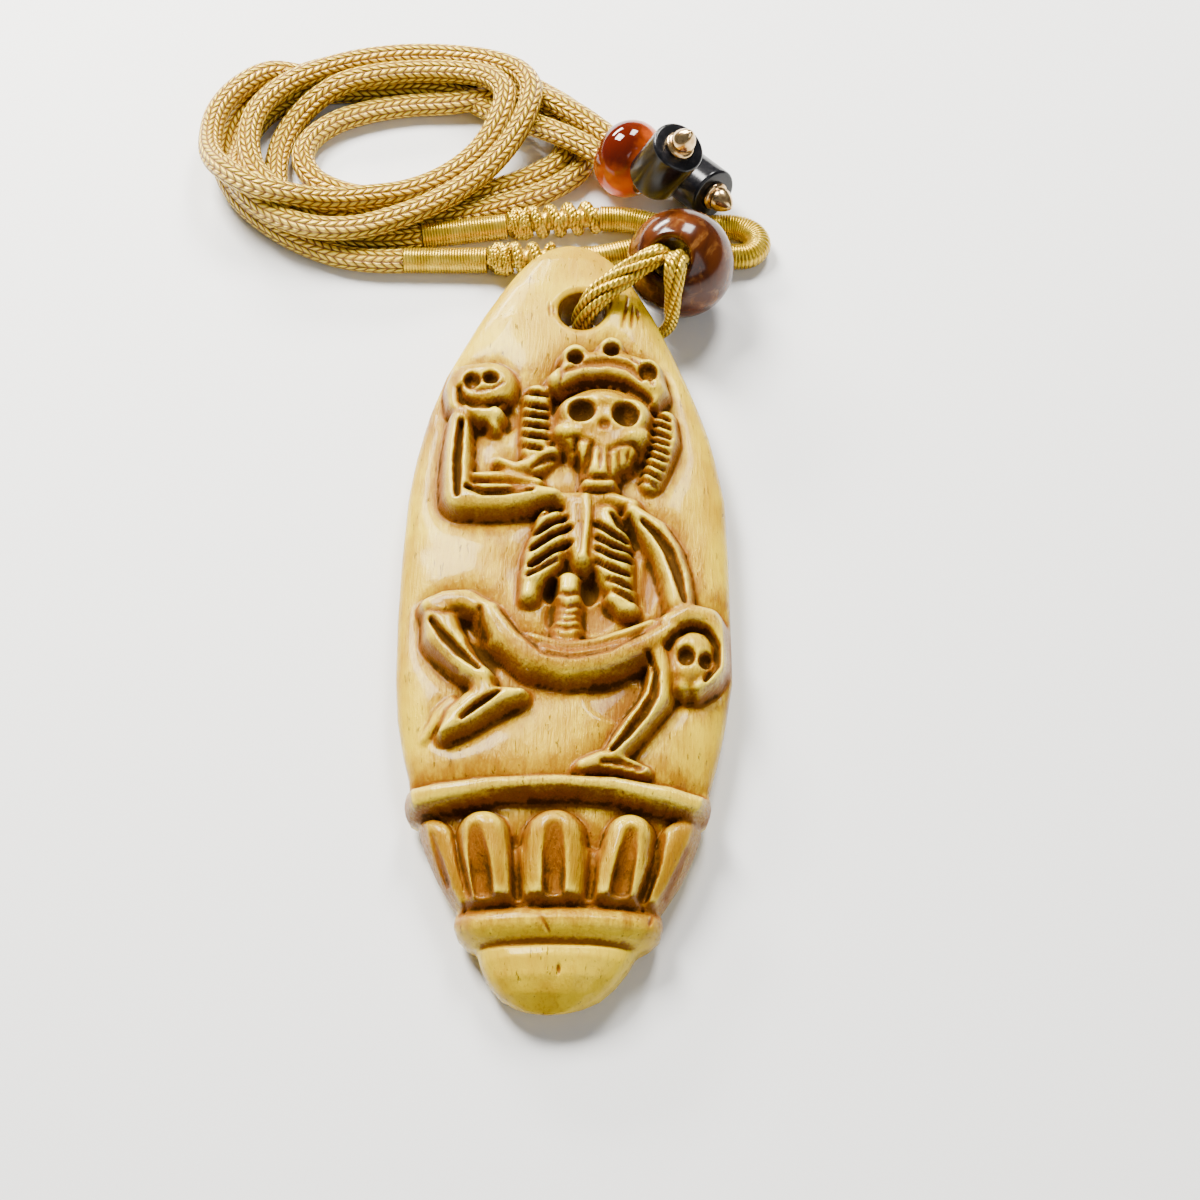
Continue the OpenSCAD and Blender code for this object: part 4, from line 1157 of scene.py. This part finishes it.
LOOP = read_route("13.75 50.75 1.6, 13.75 50 1.75")
LOOP += [in_bore(s, -1) for s in (-MOUTH, 0, MOUTH)]
LOOP += read_route("""
10.5 42 12.1, 8.9 41.2 11.7, 7 40.5 10.6, 4.9 39.2 9.8, 3.2 37.9 9.1, 1.9 37 7.2, 1.5 36.7 4.4
2.2 36.9 1.9, 4.4 37.6 1, 7.6 38.2 1.05, 10.4 38 2, 12 37.7 4.4, 12.3 37.8 7.6, 12.4 38.6 10.8
12.6 40.2 12.4
""")
LOOP += [in_bore(s, 1) for s in (MOUTH, 0, -MOUTH)] + read_route("15.95 50 1.7, 16 50.75 1.6")
# share of the way round, and how far the threads spread from the middle of the bundle there
SPREAD = np.array(read_places("""
0 0.4, 0.16 0.55, 0.24 1, 0.32 1.1, 0.42 0.9, 0.48 0.52, 0.62 0.5, 0.7 0.65, 0.78 1, 0.84 0.55
1 0.4
"""))
line = smooth_route(LOOP, 0.3)
spread = np.interp(np.linspace(0, 1, len(line)), SPREAD[:, 0], SPREAD[:, 1])
thick = np.interp(spread, [0.4, 1.1], [0.33, 0.52])[:, None]
parts = [tube(line, 9, thick)]
parts += [tube(wound(line, spread, LOOP_PITCH, k * math.pi / 3), 9, thick) for k in range(6)]
loop = as_piece("hanging_loop_threads", parts, twisted, "hanging_loop")
print("loop faces", len(loop.data.polygons))

# %% [markdown]
# ## Beads
#
# The beads are turned shapes: a profile of distances from the axis and along it, turned round
# the bead's own axis. A sphere with a hole cut in it would have a sharp mouth, and a profile
# gives the mouth its worn rounding.

# %% turned shapes


def turned(at, way, profile, sides, hollow=False):
    """Points, faces and lie of a turned part. A hollow one's profile is a closed loop."""
    way = np.array(way, float) / np.linalg.norm(way)
    side = np.cross([0, 0, 1], way)
    side = side / np.linalg.norm(side)
    across = np.cross(way, side)
    angle = np.arange(sides) * 2 * np.pi / sides
    out = np.cos(angle)[:, None] * side + np.sin(angle)[:, None] * across
    points = np.vstack([np.array(at) + r * out + s * way for r, s in profile])
    lie = np.array([(math.cos(a), math.sin(a), s) for _, s in profile for a in angle])
    return points, faces_over(len(profile), sides, hollow), lie


def bead_profile(outer, half, bore, lip):
    """A rounded bead, from its widest radius, its reach along the axis, the radius of its hole
    and the rounding of the hole's mouth."""
    last = math.acos((bore + lip) / outer)
    end = half * math.sin(last)
    skin = [(outer * math.cos(t), half * math.sin(t)) for t in np.linspace(-last, last, 48)]
    mouth = [(bore + lip - lip * math.sin(a), end - lip + lip * math.cos(a))
             for a in np.linspace(0.3, 1.57, 6)]
    inside = [(bore, s) for s in np.linspace(end - lip, lip - end, 8)[1:-1]]
    return skin + mouth + inside + [(r, -s) for r, s in mouth[::-1]]


def set_piece(name, part, material, node, angle=None):
    """A turned part as the visual piece for a CAD node, with edges sharp above an angle."""
    piece = as_piece(name, [part], material, node)
    face_outwards(piece)
    if angle:
        bpy.ops.object.shade_smooth_by_angle(angle=math.radians(angle))
    return piece


# %% [markdown]
# The brown bead is polished stone with cloudy red-brown bands and paler streaks. Two noises
# that bend themselves give both.

# %% brown bead
DARK_BROWN, RED_BROWN = (0.024, 0.005, 0.001), (0.085, 0.019, 0.002)
PALE_STREAK = (0.28, 0.115, 0.026)
agate = Shader("brown_stone", Roughness=0.14, Specular_IOR_Level=0.30)
cloudy = agate.noise(0.16, 4, 0.55, (1, 0.55, 1), 0.8)
swirl = agate.noise(0.42, 5, 0.62, (1, 0.55, 1), 1.2)
streak = (swirl * 0.6 + cloudy * 0.4).step(0.52, 0.68) * 0.75
agate.set(Base_Color=agate.layers(DARK_BROWN, (cloudy.step(0.38, 0.66), RED_BROWN),
                                  (streak, PALE_STREAK)))
shape = bead_profile(outer=6.6, half=6.6, bore=2.4, lip=0.5)
round_bead = turned(bead_at, mouth_way, shape, 72, hollow=True)
brown = set_piece("brown_bead_polished", round_bead, agate.material, "brown_bead")
print("brown bead", [round(v * 1000, 1) for v in brown.dimensions], "mm")

# %% [markdown]
# Light gathers in amber on the side away from the window, so the bead glows orange at its foot
# and is dark at its top. Light sent through it would change with every room the part is used
# in, so the glow is mostly in its colour, from below to above.

# %% amber bead
GLOW, ORANGE, DARK_RED = (1.0, 0.48, 0.008), (0.80, 0.12, 0.001), (0.07, 0.005, 0.0005)
amber = Shader("amber", Roughness=0.05, Specular_IOR_Level=0.45, IOR=1.5, Transmission_Weight=0.08)
place_x, place_z = (amber.node("SeparateXYZ", k, Vector=amber.place()) for k in (0, 2))
cloud = amber.noise(0.5, 3, 0.6)
above, right_of = place_z - float(slider_at[2]), place_x - float(slider_at[0])
level = above * 0.9 - right_of * 0.5 + (cloud - 0.5) * 3.2
amber.set(Base_Color=amber.layers(GLOW, (level.step(-3.8, -1.2), ORANGE),
                                  (level.step(0.4, 4.4), DARK_RED)))
shape = bead_profile(outer=5, half=4.3, bore=3.3, lip=0.25)
flat_bead = turned(slider_at, slider_way, shape, 72, hollow=True)
slider = set_piece("slider_bead_amber", flat_bead, amber.material, "slider_bead")
print("amber bead", [round(v * 1000, 1) for v in slider.dimensions], "mm")

# %% [markdown]
# Each end of the cord sits in a cylinder of black horn with a small turned brass tip. Both are
# drawn as profiles too, which keeps the tip's rim and neck crisp.

# %% horn end beads and brass tips
horn = Shader("black_horn", Roughness=0.22, Specular_IOR_Level=0.32)
grain = horn.noise(1.1, 4, 0.6, (1, 1, 0.4))
BLACK, SMOKE = (0.003, 0.003, 0.004), (0.012, 0.011, 0.013)
horn.set(Base_Color=horn.mix(grain.step(0.45, 0.75), BLACK, SMOKE))
brass = Shader("brass", Metallic=1.0, Roughness=0.20)
tarnish = brass.noise(1.2, 3, 0.6)
BRIGHT_BRASS, DULL_BRASS = (0.80, 0.56, 0.27), (0.52, 0.31, 0.12)
brass.set(Base_Color=brass.mix(tarnish.step(0.4, 0.7), BRIGHT_BRASS, DULL_BRASS))

# profiles as distance from the axis and along it
END_R, END_L, EDGE = 3.3, 7.6, 0.4
corner = [(END_R - EDGE + EDGE * math.sin(a), EDGE - EDGE * math.cos(a))
          for a in np.linspace(0, math.pi / 2, 7)]
HORN = ([(0.02, 1.5), (1.5, 1.5), (1.55, 1.4), (1.55, 0.1), (1.65, 0)] + corner
        + [(r, END_L - s) for r, s in corner[::-1]] + [(2.0, END_L), (0.02, END_L)])
TIP = read_places("""
0.02 0, 1.7 0, 1.8 0.1, 1.8 0.4, 1.68 0.52, 1.42 0.6, 1.4 0.75, 1.5 1, 1.52 1.3, 1.42 1.7
1.22 2.15, 0.95 2.6, 0.66 2.95, 0.42 3.2, 0.2 3.36, 0.02 3.4
""")
ends = {}
for letter, back, way in (("a", end_a_back, end_a_way), ("b", end_b_back, end_b_way)):
    bead, tip = turned(back, way, HORN, 64), turned(back + END_L * way, way, TIP, 40)
    ends[letter] = [
        set_piece(f"end_bead_{letter}_horn", bead, horn.material, f"end_bead_{letter}", angle=30),
        set_piece(f"end_tip_{letter}_brass", tip, brass.material, f"end_tip_{letter}", angle=50)]
    print("end bead and tip", letter, "at", [round(float(v), 1) for v in back])

# %% [markdown]
# The two halves of the cord are soft. The cell below works out, for each, where it leaves its
# sleeve, its length and its path in metres, next to the pieces that hang on it.

# %% where the free cords start, how long they are, and their paths
lower = [wound_parts[node] for node in ("sleeve_lower", "knot_lower", "sleeve_apex")]
upper = [wound_parts[node] for node in ("sleeve_upper", "knot_upper")]
for piece, line, length, also in (
        (cord_a, line_a, length_a, [slider, *ends["a"], *lower, loop, brown]),
        (cord_b, line_b, length_b, [*ends["b"], *upper])):
    tuple(line[0] * MM)
    length * MM
    (line * MM).tolist()
print("cords of", round(length_a), "and", round(length_b), "mm, with their fittings")
